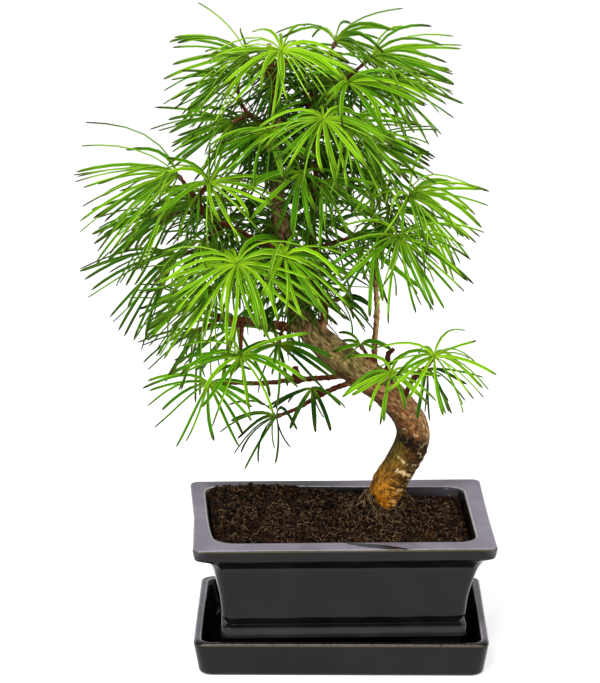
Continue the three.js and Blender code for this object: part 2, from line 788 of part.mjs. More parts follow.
const tree = new THREE.Group();
tree.add(piece("tree_wood", wood(), "bark"));
for (const shoot of growNeedles()) {
  tree.add(piece("tuft_" + shoot.name, tuft(shoot), "needle"));
}
bonsai.add(tree);

export default bonsai;
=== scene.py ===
"""A golden larch bonsai in a rectangular glazed pot that stands on its saucer.

Sizes are in millimetres and become metres where vertices are placed. +X is to the right of the
tree's front, +Y goes away from its front, and the origin is the middle of the saucer's flat base.
"""

from __future__ import annotations

import logging
import math
from collections.abc import Callable, Iterable, Sequence
from dataclasses import dataclass, field
from enum import Enum
from typing import Any

import bmesh
import bpy
import numpy as np
from mathutils import Matrix, Vector, noise


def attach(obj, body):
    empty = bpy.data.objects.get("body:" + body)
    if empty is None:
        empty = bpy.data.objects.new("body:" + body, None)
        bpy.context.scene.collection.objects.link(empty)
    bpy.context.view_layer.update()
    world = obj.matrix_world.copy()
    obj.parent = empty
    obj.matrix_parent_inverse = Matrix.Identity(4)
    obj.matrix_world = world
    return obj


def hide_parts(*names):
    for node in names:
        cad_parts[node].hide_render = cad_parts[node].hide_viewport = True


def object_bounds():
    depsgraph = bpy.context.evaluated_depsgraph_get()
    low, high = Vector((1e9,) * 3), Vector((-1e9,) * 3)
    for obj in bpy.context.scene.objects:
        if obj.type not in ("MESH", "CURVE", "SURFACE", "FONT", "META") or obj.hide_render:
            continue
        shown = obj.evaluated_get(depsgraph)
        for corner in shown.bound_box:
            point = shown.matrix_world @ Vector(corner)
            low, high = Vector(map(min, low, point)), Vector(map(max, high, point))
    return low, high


MM = 0.001
BODY = "root"

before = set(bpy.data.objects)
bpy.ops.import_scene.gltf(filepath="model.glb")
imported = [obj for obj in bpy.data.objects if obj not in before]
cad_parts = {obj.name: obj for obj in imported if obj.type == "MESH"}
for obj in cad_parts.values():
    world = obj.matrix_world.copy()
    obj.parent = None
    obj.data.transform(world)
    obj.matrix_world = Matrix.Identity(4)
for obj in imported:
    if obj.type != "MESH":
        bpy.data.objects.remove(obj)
CAD_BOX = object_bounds()
log = logging.getLogger("bonsai")

Colour = tuple[float, float, float, float]
Place = tuple[float, float, float]
Array = np.ndarray
BMesh = bmesh.types.BMesh
Piece = bpy.types.Object
Tube = list[tuple[Any, int, int]]
Tree = bpy.types.NodeTree
Socket = bpy.types.NodeSocket
Painted = tuple[dict[str, Any], list[tuple[float, float, Socket]]]


def linear(hex_colour: str) -> Colour:
    """Turns an sRGB hex colour to linear light.

    Args:
        hex_colour: The colour as "#rrggbb".

    Returns:
        Red, green, blue and an alpha of 1.
    """
    shares = [int(hex_colour[start : start + 2], 16) / 255 for start in (1, 3, 5)]
    red, green, blue = (s / 12.92 if s <= 0.04045 else ((s + 0.055) / 1.055) ** 2.4 for s in shares)
    return red, green, blue, 1.0


def per(size: float) -> float:
    """Returns the texture scale that gives a pattern this size in millimetres on Object coordinates."""
    return 1 / (size * MM)


def connect(tree: Tree, node: bpy.types.Node, inputs: dict[str | int, Any]) -> None:
    """Sets or links a node's inputs.

    Args:
        tree: The node tree.
        node: The node.
        inputs: For each input, a value, a hex colour or the output socket to link to it.
    """
    for name, value in inputs.items():
        if isinstance(value, Socket):
            tree.links.new(value, node.inputs[name])
        else:
            node.inputs[name].default_value = linear(value) if isinstance(value, str) else value


def add_node(
    tree: Tree,
    kind: str,
    inputs: dict[str | int, Any] | None = None,
    output: str | int = 0,
    stops: Sequence[tuple[float, str]] = (),
    **settings: Any,
) -> Socket:
    """Adds a shader node with its settings and links.

    Args:
        tree: The node tree that gets the node.
        kind: The node's type name, less "ShaderNode".
        inputs: For each input, a value, a hex colour or the output socket to link to it.
        output: Which of its outputs is returned.
        stops: For a colour ramp, its places and hex colours in rising order.
        **settings: Values for the node's own properties.

    Returns:
        The new node's output socket.
    """
    node = tree.nodes.new(f"ShaderNode{kind}")
    for name, value in settings.items():
        setattr(node, name, value)
    connect(tree, node, inputs or {})
    if stops:
        elements = node.color_ramp.elements
        elements.remove(elements[-1])
        elements[0].position, elements[0].color = stops[0][0], linear(stops[0][1])
        for place, colour in stops[1:]:
            elements.new(place).color = linear(colour)
    return node.outputs[output]


def share(tree: Tree, *parts: Any) -> Any:
    """Works out how much of a coat shows: the product of its parts.

    Args:
        tree: The node tree.
        *parts: Numbers and sockets, or a socket with two values: it counts from 0 at the first,
            smoothly, to 1 at the second, which may be the lower one.

    Returns:
        The product's socket.
    """
    product = None
    for part in parts:
        if isinstance(part, tuple):
            value, start, end = part
            inputs = {"Value": value, "From Min": start, "From Max": end}
            part = add_node(tree, "MapRange", inputs, interpolation_type="SMOOTHSTEP")
        if product is None:
            product = part
        else:
            product = add_node(tree, "Math", {0: product, 1: part}, operation="MULTIPLY")
    return product


def coated(tree: Tree, base: Any, *coats: tuple[Any, ...]) -> Socket:
    """Lays coats of colour one over another.

    Args:
        tree: The node tree.
        base: The lowest colour, as a hex colour or a socket.
        *coats: For each coat its colour, and then the parts of its share.

    Returns:
        The socket of the colour that shows.
    """
    for colour, *parts in coats:
        inputs = {0: share(tree, *parts), 6: base, 7: colour}
        base = add_node(tree, "Mix", inputs, 2, data_type="RGBA")
    return base


@dataclass(frozen=True)
class Finish:
    """A finish: its real name, its gloss, and the values on the mesh that its colours follow."""

    name: str
    roughness: float
    ior: float
    specular: float = 0.5
    kept: tuple[str, ...] = ()

    def make(self) -> bpy.types.Material:
        """Returns the finish as a material."""
        material = bpy.data.materials.new(self.name)
        material.use_nodes = True
        tree = material.node_tree
        values = [add_node(tree, "Attribute", output="Fac", attribute_name=name) for name in self.kept]
        inputs, layers = self.paint(tree, *values)
        normal: dict[str, Socket] = {}
        for strength, depth, height in layers:
            bump = {"Strength": strength, "Distance": depth * MM, "Height": height, **normal}
            normal = {"Normal": add_node(tree, "Bump", bump)}
        fixed = {"Roughness": self.roughness, "IOR": self.ior, "Specular IOR Level": self.specular}
        connect(tree, tree.nodes["Principled BSDF"], {**fixed, **inputs, **normal})
        return material

    def paint(self, tree: Tree, *values: Socket) -> Painted:
        """Puts the finish's colours and relief together.

        Args:
            tree: The node tree.
            *values: The sockets of the values that are kept on the mesh.

        Returns:
            The main shader's inputs, and for each layer of relief, the lowest first, its strength,
            its depth in millimetres and its height.
        """
        raise NotImplementedError


@dataclass(frozen=True)
class BlackGlaze(Finish):
    """Stoneware dipped in a near-black glaze and fired.

    It looks wet and glassy with slow waves in its reflections, and where the glaze runs thin over
    a lip it breaks to lilac grey with an olive-brown line. The lilac grey on the lips is partly this
    thin glaze and partly painted reflection. On the corners, the foot band and the back inner wall it
    is a painted highlight, and the rim also carries a painted highlight and a painted dark reflection.
    """

    name: str = "black_stoneware_glaze"
    roughness: float = 0.14
    ior: float = 1.47
    specular: float = 0.24
    kept: tuple[str, ...] = ("edge", "line", "crest_highlight")
    deep: str = "#0a0909"
    pooled: str = "#131110"
    thin: str = "#756e7c"
    pale: str = "#8a8391"
    brown: str = "#57503a"
    bright: str = "#c5c0bd"
    wave: float = 21.0
    pit: float = 2.6
    dark_reflection_middle: tuple[float, float] = (18.0, -45.2)
    dark_reflection_radii: tuple[float, float] = (16.0, 3.0)
    dark_reflection_slant: float = 0.286
    rim: float = 69.0
    gloss: tuple[float, float] = (0.08, 0.2)

    def paint(self, tree: Tree, *values: Socket) -> Painted:
        """Puts the glaze together: body, thin lips with a painted dark reflection on the front rim, and
        lines.

        Args:
            tree: The node tree.
            *values: How near each place is to a lip, to the line under it and to its top edge, which gets a
                     painted highlight.

        Returns:
            The main shader's inputs and the layers of relief.
        """
        edge, line, crest_highlight = values
        place = add_node(tree, "TexCoord", output="Object")
        wave = add_node(tree, "TexNoise", {"Vector": place, "Scale": per(self.wave)})
        pit = add_node(tree, "TexNoise", {"Vector": place, "Scale": per(self.pit), "Detail": 4.0})
        x, y, z = add_node(tree, "SeparateXYZ", {0: place}).node.outputs
        # A torn dark patch on the front rim's top: a painted reflection of the trunk.
        slant = add_node(tree, "Math", {0: share(tree, x, self.dark_reflection_slant), 1: y}, operation="ADD")
        flat = add_node(tree, "CombineXYZ", {0: x, 1: slant})
        centre = [-middle / radius for middle, radius in zip(self.dark_reflection_middle, self.dark_reflection_radii)]
        scale = [per(radius) for radius in self.dark_reflection_radii]
        inputs = {"Vector": flat, "Location": (*centre, 0), "Scale": (*scale, 0)}
        centred = add_node(tree, "Mapping", inputs)
        off = add_node(tree, "VectorMath", {0: centred}, "Value", operation="LENGTH")
        torn = add_node(tree, "Math", {0: off, 1: share(tree, pit, 0.5)}, operation="ADD")
        body = coated(tree, self.deep, (self.pooled, (wave, 0.35, 0.7)))
        dark_reflection = (self.deep, (torn, 1.3, 1.18), (z, self.rim * MM, (self.rim + 1) * MM))
        lips = coated(tree, self.thin, (self.pale, (wave, 0.3, 0.7)), dark_reflection)
        colour = coated(
            tree,
            body,
            (lips, edge),
            (self.brown, line, (pit, 0.1, 0.45)),
            # The bright colour along the rim's inner edge and outer top edge is a painted highlight.
            (self.bright, crest_highlight, (pit, 0.15, 0.6)),
        )
        inputs = {"Value": pit, "To Min": self.gloss[0], "To Max": self.gloss[1]}
        rough = add_node(tree, "MapRange", inputs)
        return {"Base Color": colour, "Roughness": rough}, [(0.3, 0.9, wave), (0.15, 0.1, pit)]


@dataclass(frozen=True)
class DampPeat(Finish):
    """Damp peat compost, crumbled and pressed by hand.

    It looks dark, soft and rough, with reddish wood bits and tan fibres among black crumbs.
    """

    name: str = "damp_peat"
    roughness: float = 0.92
    ior: float = 1.4
    specular: float = 0.1
    kept: tuple[str, ...] = ("raised",)
    near_black_and_shade: str = "#030201"
    crumb: str = "#25150b"
    ridge: str = "#56381f"
    rust: str = "#3f1b0d"
    grain: float = 1.6
    clump: float = 9.0

    def paint(self, tree: Tree, *values: Socket) -> Painted:
        """Puts the peat together: painted shade in low places and dips, lighter ridges and rusty clumps.

        Args:
            tree: The node tree.
            *values: How far each place is raised.

        Returns:
            The main shader's inputs and the layer of relief.
        """
        place = add_node(tree, "TexCoord", output="Object")
        grain = add_node(tree, "TexNoise", {"Vector": place, "Scale": per(self.grain), "Detail": 6.0})
        clump = add_node(tree, "TexNoise", {"Vector": place, "Scale": per(self.clump), "Detail": 3.0})
        # Low places on the bed and dips of the bumped grain go near black: painted shade. On the crumbs the
        # raised value is a random tone.
        colour = coated(
            tree,
            self.near_black_and_shade,
            (self.crumb, (values[0], 0.3, 0.8)),
            (self.ridge, (grain, 0.55, 0.7)),
            (self.rust, (clump, 0.55, 0.7), (grain, 0.48, 0.62)),
            (self.near_black_and_shade, (grain, 0.46, 0.38)),
        )
        return {"Base Color": colour}, [(1.0, 0.6, grain)]


@dataclass(frozen=True)
class PeatFibre(Finish):
    """Half-rotted roots and sedge in the peat: dull tan to rust strands that catch the light."""

    name: str = "peat_fibre"
    roughness: float = 0.8
    ior: float = 1.4
    kept: tuple[str, ...] = ("pale",)
    dark: str = "#2b190d"
    light: str = "#9c8058"
    dirt: float = 3.0

    def paint(self, tree: Tree, *values: Socket) -> Painted:
        """Puts the fibres together.

        Args:
            tree: The node tree.
            *values: How pale each fibre is.

        Returns:
            The main shader's inputs and no relief.
        """
        place = add_node(tree, "TexCoord", output="Object")
        dirt = add_node(tree, "TexNoise", {"Vector": place, "Scale": per(self.dirt), "Detail": 3.0})
        return {"Base Color": coated(tree, self.dark, (self.light, values[0], (dirt, 0.3, 0.6)))}, []


@dataclass(frozen=True)
class LarchBark(Finish):
    """Living larch bark, from smooth young twigs to the creased foot of the trunk.

    The foot is golden ochre with level wrinkles and cream flakes, a dark cracked band marks the
    first bend, the trunk above it is olive brown with a red flush, and the twigs are purple brown.
    Painted shade darkens creases, undersides and left-facing sides, and painted highlights lighten
    the trunk's right-facing side and the twigs' tops.
    """

    name: str = "larch_bark"
    roughness: float = 0.78
    ior: float = 1.45
    specular: float = 0.14
    kept: tuple[str, ...] = ("age", "relief", "rise", "scar", "split", "moss")
    crack: str = "#170e07"
    flake: str = "#e2c28a"
    flush: str = "#944728"
    moss: str = "#555c1c"
    pale: str = "#d2ad7d"
    # Dark bark: real dark flecks and grain, and painted shade in creases, underneath and on the left.
    shade: str = "#2f1d0d"
    twig: str = "#47200f"
    warm: str = "#8f4a2a"
    tan: str = "#b48a58"
    trunk: tuple[tuple[float, str], ...] = (
        (0.0, "#b06c12"),
        (0.05, "#cf8a22"),
        (0.11, "#c07e20"),
        (0.17, "#9c6c22"),
        (0.24, "#7f5c1f"),
        (0.31, "#6b4b1d"),
        (0.36, "#3a2713"),
        (0.41, "#412c17"),
        (0.46, "#8a6435"),
        (0.56, "#93653a"),
        (0.66, "#8a6034"),
        (0.76, "#8a7a44"),
        (0.88, "#857441"),
        (1.0, "#6b4f2e"),
    )

    def paint(self, tree: Tree, *values: Socket) -> Painted:
        """Puts the bark together: the trunk's colours by height, the twigs', what marks both, and painted
        light and shade.

        Args:
            tree: The node tree.
            *values: The wood's age, its relief, how high it is, its scars, splits and moss.

        Returns:
            The main shader's inputs and the layers of relief.
        """
        age, relief, rise, scar, split, moss = values
        limb = add_node(tree, "Attribute", output="Vector", attribute_name="limb")

        def pattern(across: float, along: float, detail: float) -> Socket:
            """Returns noise on the limb's own place, in sizes of millimetres across and along it."""
            sizes = {"Vector": limb, "Scale": (1 / across, 1 / across, 1 / along)}
            inputs = {"Vector": add_node(tree, "Mapping", sizes), "Scale": 1.0, "Detail": detail}
            return add_node(tree, "TexNoise", {**inputs, "Roughness": 0.6})

        blotch, grain = pattern(8, 12, 3.0), pattern(1.3, 3.6, 4.0)
        fleck, wrinkle = pattern(1.6, 2.6, 3.0), pattern(8, 1.3, 4.0)
        normal = add_node(tree, "NewGeometry", output="Normal")
        right, _, up = add_node(tree, "SeparateXYZ", {0: normal}).node.outputs
        above, low = share(tree, (rise, 0.38, 0.48)), share(tree, (rise, 0.45, 0.3))
        old = coated(
            tree,
            add_node(tree, "ValToRGB", {0: rise}, stops=self.trunk),
            # Lighter on the side that faces right, above the foot: a painted highlight.
            (self.pale, (right, 0.4, 1.0), above, 0.6),
            (self.moss, (right, 0.0, -0.7), (rise, 0.14, 0.26), 0.5),
            (self.flush, (blotch, 0.42, 0.58), above, (rise, 0.82, 0.66), 0.75),
            (self.pale, (grain, 0.5, 0.66), (rise, 0.34, 0.5), 0.5),
            (self.shade, (fleck, 0.54, 0.36), 0.65),
            (self.shade, (grain, 0.5, 0.38), 0.6),
            # Darker in the level wrinkles and less on the right-facing side: painted shade in the creases.
            (self.shade, (wrinkle, 0.55, 0.44), low, (right, -0.5, 0.3), 0.85),
            (self.flake, (wrinkle, 0.54, 0.6), (right, 0.1, 0.6), low, (fleck, 0.4, 0.52)),
            # Darker where the bark faces down: painted shade.
            (self.shade, (up, 0.0, -0.75), 0.75),
            # A dark rim on the side that faces left: painted shade.
            (self.shade, (right, -0.62, -0.95), 0.7),
            (self.flake, scar, (fleck, 0.36, 0.5)),
            (self.crack, split, (fleck, 0.62, 0.48)),
        )
        colour = coated(
            tree,
            self.twig,
            # Lighter on the twigs' tops: a painted highlight.
            (self.warm, (up, -0.1, 0.9), 0.6),
            (self.tan, (age, 0.3, 0.6)),
            # Twig colour over the side that faces left: painted shade.
            (self.twig, (right, 0.2, -0.4), 0.8),
            (self.crack, (fleck, 0.48, 0.36), 0.7),
            (old, (age, 0.46, 0.8)),
            (self.moss, moss, (fleck, 0.36, 0.5)),
            # Near black where the bark sinks deepest: painted shade in the creases.
            (self.crack, (relief, 0.4, 0.1)),
        )
        return {"Base Color": colour}, [(0.8, 0.35, fleck), (0.6, 0.3, wrinkle)]


@dataclass(frozen=True)
class LarchNeedle(Finish):
    """Soft flat larch needles with a thin waxy skin.

    Young ones are bright lime, old and shaded ones deep green. The channelled middle is darkened as
    painted shade, the margins are lightened as a painted highlight, the back is a dull green made
    darker with painted shade, and the tips end in olive or have dried to dark brown.
    """

    name: str = "larch_needle"
    roughness: float = 0.45
    ior: float = 1.42
    specular: float = 0.07
    kept: tuple[str, ...] = ("across", "under", "root", "end", "tone")
    old: str = "#123b01"
    green: str = "#4b8c02"
    young: str = "#8cc60a"
    margin: str = "#b9dc58"
    back: str = "#3b5a1c"
    base: str = "#a9c828"
    tip: str = "#37420f"
    dry: str = "#231512"

    def paint(self, tree: Tree, *values: Socket) -> Painted:
        """Puts the needles together.

        Args:
            tree: The node tree.
            *values: How far out across the needle, on its back, near its root and near its end
            each place is, and the needle's tone, from its age and from painted light and shade.

        Returns:
            The main shader's inputs and no relief.
        """
        across, under, root, end, tone = values
        # The tone ramp runs from old and shaded deep green to young and lit lime.
        stops = ((0.0, self.old), (0.5, self.green), (1.0, self.young))
        colour = coated(
            tree,
            add_node(tree, "ValToRGB", {0: tone}, stops=stops),
            # Darker down the channelled middle: painted shade.
            (self.old, (across, 0.5, 0.05), 0.5),
            # Lighter margins on the lighter needles: a painted highlight.
            (self.margin, (across, 0.55, 0.95), tone, 0.7),
            # The back is a duller green, darkened further as painted shade.
            (self.back, under, 0.7),
            (self.base, root, 0.55),
            (self.tip, (end, 0.0, 0.6), 0.8),
            (self.dry, (end, 0.6, 1.0)),
        )
        return {"Base Color": colour}, []


@dataclass(frozen=True)
class BudScale(Finish):
    """Overlapping bud scales: papery red brown with a resin shine."""

    name: str = "bud_scale"
    roughness: float = 0.5
    ior: float = 1.48
    dark: str = "#35190e"
    light: str = "#7d4a28"
    scale: float = 1.0

    def paint(self, tree: Tree, *values: Socket) -> Painted:
        """Puts the scales together.

        Args:
            tree: The node tree.
            *values: None.

        Returns:
            The main shader's inputs and the layer of relief.
        """
        place = add_node(tree, "TexCoord", output="Object")
        scales = add_node(tree, "TexVoronoi", {"Vector": place, "Scale": per(self.scale)})
        return {"Base Color": coated(tree, self.light, (self.dark, scales))}, [(0.6, 0.3, scales)]


@dataclass(frozen=True)
class Netting(Finish):
    """Moulded polythene netting: black, dull and slightly waxy."""

    name: str = "moulded_netting"
    roughness: float = 0.55
    ior: float = 1.5
    colour: str = "#161716"
    worn: str = "#2a2b2a"
    wear: float = 2.0

    def paint(self, tree: Tree, *values: Socket) -> Painted:
        """Puts the netting together.

        Args:
            tree: The node tree.
            *values: None.

        Returns:
            The main shader's inputs and no relief.
        """
        place = add_node(tree, "TexCoord", output="Object")
        wear = add_node(tree, "TexNoise", {"Vector": place, "Scale": per(self.wear), "Detail": 3.0})
        return {"Base Color": coated(tree, self.colour, (self.worn, wear))}, []


@dataclass(frozen=True)
class StudioFloor(Finish):
    """Matte white studio floor, lit through from below, which keeps only soft shadows."""

    name: str = "matte_white_floor"
    roughness: float = 0.9
    ior: float = 1.3
    specular: float = 0.0
    colour: str = "#f2f2f2"
    light: str = "#ffffff"
    glow: float = 0.5

    def paint(self, tree: Tree, *values: Socket) -> Painted:
        """Returns the main shader's inputs and no relief."""
        inputs = {"Base Color": self.colour, "Emission Color": self.light, "Emission Strength": self.glow}
        return inputs, []


def copied(bm: BMesh, count: int) -> list[list[bmesh.types.BMVert]]:
    """Copies the one shape that a mesh holds.

    Args:
        bm: The mesh.
        count: How many of the shape it holds in the end.

    Returns:
        The vertices of each copy, in the same order.
    """
    size = len(bm.verts)
    made = 1
    while made < count:
        more = min(made, count - made)
        bm.verts.ensure_lookup_table()
        verts = bm.verts[: more * size]
        chosen = set(verts)
        edges = [edge for edge in bm.edges if edge.verts[0] in chosen]
        faces = [face for face in bm.faces if face.verts[0] in chosen]
        bmesh.ops.duplicate(bm, geom=[*verts, *edges, *faces])
        made += more
    bm.verts.ensure_lookup_table()
    return [bm.verts[k * size : (k + 1) * size] for k in range(count)]


def tubes(sides: int, rings: int, count: int = 1) -> tuple[BMesh, list[Tube]]:
    """Makes a mesh of closed tubes of unit size, ready to be bent.

    Args:
        sides: Steps round a tube.
        rings: Rings of vertices from one end to the other.
        count: How many tubes.

    Returns:
        The mesh, and for each tube its vertices with their ring from the bottom and step round.
    """
    bm = bmesh.new()
    bmesh.ops.create_cone(bm, cap_ends=True, segments=sides, radius1=1, radius2=1, depth=1)
    upright = [edge for edge in bm.edges if abs(edge.verts[0].co.z - edge.verts[1].co.z) > 0.5]
    if rings > 2:
        bmesh.ops.subdivide_edges(bm, edges=upright, cuts=rings - 2)
    steps = []
    for vertex in bm.verts:
        turn = (math.atan2(vertex.co.y, vertex.co.x) - math.pi / 2) / math.tau
        steps.append((round((vertex.co.z + 0.5) * (rings - 1)), round(turn * sides) % sides))
    groups = copied(bm, count)
    return bm, [[(v, ring, side) for v, (ring, side) in zip(group, steps)] for group in groups]


def merged(meshes: Sequence[BMesh]) -> BMesh:
    """Returns the first mesh with all that the others hold, each with the next material index."""
    first, *others = meshes
    for index, other in enumerate(others, 1):
        for face in other.faces:
            face.material_index = index
        carried = bpy.data.meshes.new("carried")
        other.to_mesh(carried)
        other.free()
        first.from_mesh(carried)
        bpy.data.meshes.remove(carried)
    return first


def unit(vector: Array) -> Array:
    """Returns the vector at length 1."""
    return vector / np.linalg.norm(vector)


@dataclass
class Line:
    """A smooth line through points, with a girth at each step and cross directions that don't twist."""

    points: Array
    girths: Array
    step: float
    steps: Array = field(init=False)
    places: Array = field(init=False)
    thick: Array = field(init=False)
    along: Array = field(init=False)
    first: Array = field(init=False)
    second: Array = field(init=False)

    def __post_init__(self) -> None:
        """Works out the line's places and directions."""
        points = np.asarray(self.points, float)
        run = np.concatenate([[0], np.cumsum(np.linalg.norm(np.diff(points, axis=0), axis=1))])
        steps = np.linspace(0, run[-1], max(3, round(run[-1] / self.step) + 1))
        slopes = np.gradient(points, run, axis=0)
        left = np.clip(np.searchsorted(run, steps, side="right") - 1, 0, len(run) - 2)
        span = (run[left + 1] - run[left])[:, None]
        t = ((steps - run[left])[:, None]) / span
        self.places = (
            (2 * t**3 - 3 * t**2 + 1) * points[left]
            + (t**3 - 2 * t**2 + t) * span * slopes[left]
            + (3 * t**2 - 2 * t**3) * points[left + 1]
            + (t**3 - t**2) * span * slopes[left + 1]
        )
        self.thick = np.interp(steps, run, np.asarray(self.girths, float))
        self.along = np.gradient(self.places, axis=0)
        self.along /= np.linalg.norm(self.along, axis=1)[:, None]
        cross = np.array([1.0, 0, 0]) if abs(self.along[0][0]) < 0.8 else np.array([0, 1.0, 0])
        crosses = []
        for direction in self.along:
            cross = unit(cross - direction * (cross @ direction))
            crosses.append(cross)
        self.first = np.array(crosses)
        self.second = np.cross(self.along, self.first)
        self.steps = steps

    def sweep(self, sides: int) -> BMesh:
        """Returns the limb that runs along the line."""
        bm, (limb,) = tubes(sides, len(self.places))
        for vertex, ring, side in limb:
            angle = math.tau * side / sides
            cross = self.first[ring] * math.cos(angle) + self.second[ring] * math.sin(angle)
            vertex.co = Vector((self.places[ring] + cross * self.thick[ring]) * MM)
        return bm


def finished(
    name: str, bm: BMesh, finishes: Sequence[Finish], smooth: bool = True
) -> Piece:
    """Makes a piece from a mesh, with its faces turned outwards, and puts it in the scene.

    Args:
        name: The piece's name.
        bm: Its mesh, which is freed.
        finishes: A finish for each material index of its faces.
        smooth: Whether its faces are shaded smooth.

    Returns:
        The new object.
    """
    bmesh.ops.recalc_face_normals(bm, faces=bm.faces)
    mesh = bpy.data.meshes.new(name)
    bm.to_mesh(mesh)
    bm.free()
    mesh.polygons.foreach_set("use_smooth", [smooth] * len(mesh.polygons))
    for finish in finishes:
        mesh.materials.append(bpy.data.materials.get(finish.name) or finish.make())
    piece = bpy.data.objects.new(name, mesh)
    bpy.context.scene.collection.objects.link(piece)
    return piece


def settle(piece: Piece, slot: str, *nodes: str) -> None:
    """Sets a piece on the body and hides the frame's nodes that it replaces.

    Args:
        piece: The finished piece.
        slot: Not used.
        *nodes: The nodes of the frame that the piece replaces.
    """
    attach(piece, BODY)
    if nodes:
        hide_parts(*nodes)
    log.info("%s: %d faces", piece.name, len(piece.data.polygons))


def keep_values(mesh: bpy.types.Mesh, values: dict[str, Array]) -> None:
    """Keeps values on a mesh's vertices: one number each, or three."""
    for name, array in values.items():
        kind, key = ("FLOAT_VECTOR", "vector") if array.ndim == 2 else ("FLOAT", "value")
        layer = mesh.attributes.new(name, kind, "POINT")
        layer.data.foreach_set(key, np.ascontiguousarray(array, np.float32).ravel())


def seeded(seed: int) -> Callable[[], float]:
    """Returns a function that gives even random numbers from 0 to 1, the same on each run."""
    state = seed

    def draw() -> float:
        """Returns the next number."""
        nonlocal state
        state = (state * 1664525 + 1013904223) % 2**32
        return state / 2**32

    return draw


@dataclass(frozen=True)
class Outline:
    """A rectangle with rounded corners, seen from above: the plan of the pot and the saucer."""

    width: float
    depth: float
    corner_steps: int = 8
    straight_step: float = 4.0

    def turns(self) -> list[tuple[float, float, float]]:
        """Returns the ring's steps, each with its corner's signs and share of the corner's arc.

        A straight side's steps are given by shares past the corner, from 1 to 2.
        """
        steps = []
        for quarter in range(4):
            length = self.depth if quarter % 2 else self.width
            between_corners = max(2, round(length / self.straight_step))
            steps += [(quarter, k / self.corner_steps, 0.0) for k in range(self.corner_steps + 1)]
            steps += [(quarter, 1.0, k / between_corners) for k in range(1, between_corners)]
        return steps

    def ring(self, inset: float, corner: float) -> Array:
        """Works out the ring's points at one inset.

        Args:
            inset: How far the ring lies inside the outline.
            corner: The radius of its corners.

        Returns:
            An array of x and y, counter-clockwise from the right side's far corner.
        """
        x = self.width / 2 - inset - corner
        y = self.depth / 2 - inset - corner
        centres = [(x, y), (-x, y), (-x, -y), (x, -y)]
        points = []
        for quarter, bend, run in self.turns():
            angle = math.pi / 2 * (quarter + bend)
            centre = np.array(centres[quarter])
            after = np.array(centres[(quarter + 1) % 4])
            place = centre + (after - centre) * run
            points.append(place + corner * np.array([math.cos(angle), math.sin(angle)]))
        return np.array(points)


@dataclass(frozen=True)
class Step:
    """One level of a turned-up wall: its height, its inset and how round its edge is."""

    height: float
    inset: float
    round: float = 0.0
    corner: float | None = None


def rounded(steps: Sequence[Step], corner: float, arc: int = 4) -> list[tuple[float, float, float]]:
    """Rounds the edges of a wall's profile.

    Args:
        steps: The wall's levels, from the middle of its base over its rim to its floor.
        corner: The corner radius where a level doesn't give its own.
        arc: Steps in each rounded edge.

    Returns:
        Height, inset and corner radius of each ring.
    """
    rings = []
    for i, step in enumerate(steps):
        own = corner if step.corner is None else step.corner
        here = np.array([step.height, step.inset])
        if not step.round or i in (0, len(steps) - 1):
            rings.append((step.height, step.inset, own))
            continue
        before = np.array([steps[i - 1].height, steps[i - 1].inset])
        after = np.array([steps[i + 1].height, steps[i + 1].inset])
        back = unit(before - here) * min(step.round, np.linalg.norm(before - here) * 0.49)
        on = unit(after - here) * min(step.round, np.linalg.norm(after - here) * 0.49)
        for k in range(arc + 1):
            t = k / arc
            point = here + back * (1 - t) ** 2 + on * t**2
            rings.append((float(point[0]), float(point[1]), own))
    return rings


def wall(plan: Outline, rings: Sequence[tuple[float, float, float]]) -> BMesh:
    """Returns a closed body whose rings follow a plan: a height, inset and corner radius for each."""
    outlines = [plan.ring(inset, corner) for _, inset, corner in rings]
    bm, (body,) = tubes(len(outlines[0]), len(rings))
    for vertex, ring, side in body:
        x, y = outlines[ring][side]
        vertex.co = Vector((x, y, rings[ring][0])) * MM
    return bm


class Join(Enum):
    """What a tool does to the piece that it is used on."""

    ADD = "UNION"
    TAKE = "DIFFERENCE"


def cut(piece: Piece, tools: Iterable[Piece], join: Join) -> None:
    """Joins tools to a piece or cuts them out of it, and removes the tools."""
    for tool in tools:
        modifier = piece.modifiers.new("cut", "BOOLEAN")
        modifier.object = tool
        modifier.operation = join.value
        modifier.solver = "EXACT"
        bpy.context.view_layer.update()
        mesh = bpy.data.meshes.new_from_object(piece.evaluated_get(bpy.context.evaluated_depsgraph_get()))
        piece.modifiers.clear()
        old = piece.data
        piece.data = mesh
        bpy.data.meshes.remove(old)
        bpy.data.objects.remove(tool)


def coordinates(mesh: bpy.types.Mesh) -> Array:
    """Returns the places of a mesh's vertices in millimetres."""
    flat = np.empty(len(mesh.vertices) * 3, np.float32)
    mesh.vertices.foreach_get("co", flat)
    return flat.reshape(-1, 3).astype(float) / MM


def place_vertices(mesh: bpy.types.Mesh, points: Array) -> None:
    """Moves a mesh's vertices to places in millimetres."""
    mesh.vertices.foreach_set("co", np.ascontiguousarray(points * MM, np.float32).ravel())
    mesh.update()


def roughness_at(points: Array, size: float, seed: float) -> Array:
    """Returns soft noise from -1 to 1 at places in millimetres, with bumps about this size."""
    shift = Vector((seed * 7.3, seed * 3.1, seed * 5.7))
    return np.array([noise.noise(Vector(p) / size + shift) for p in points])


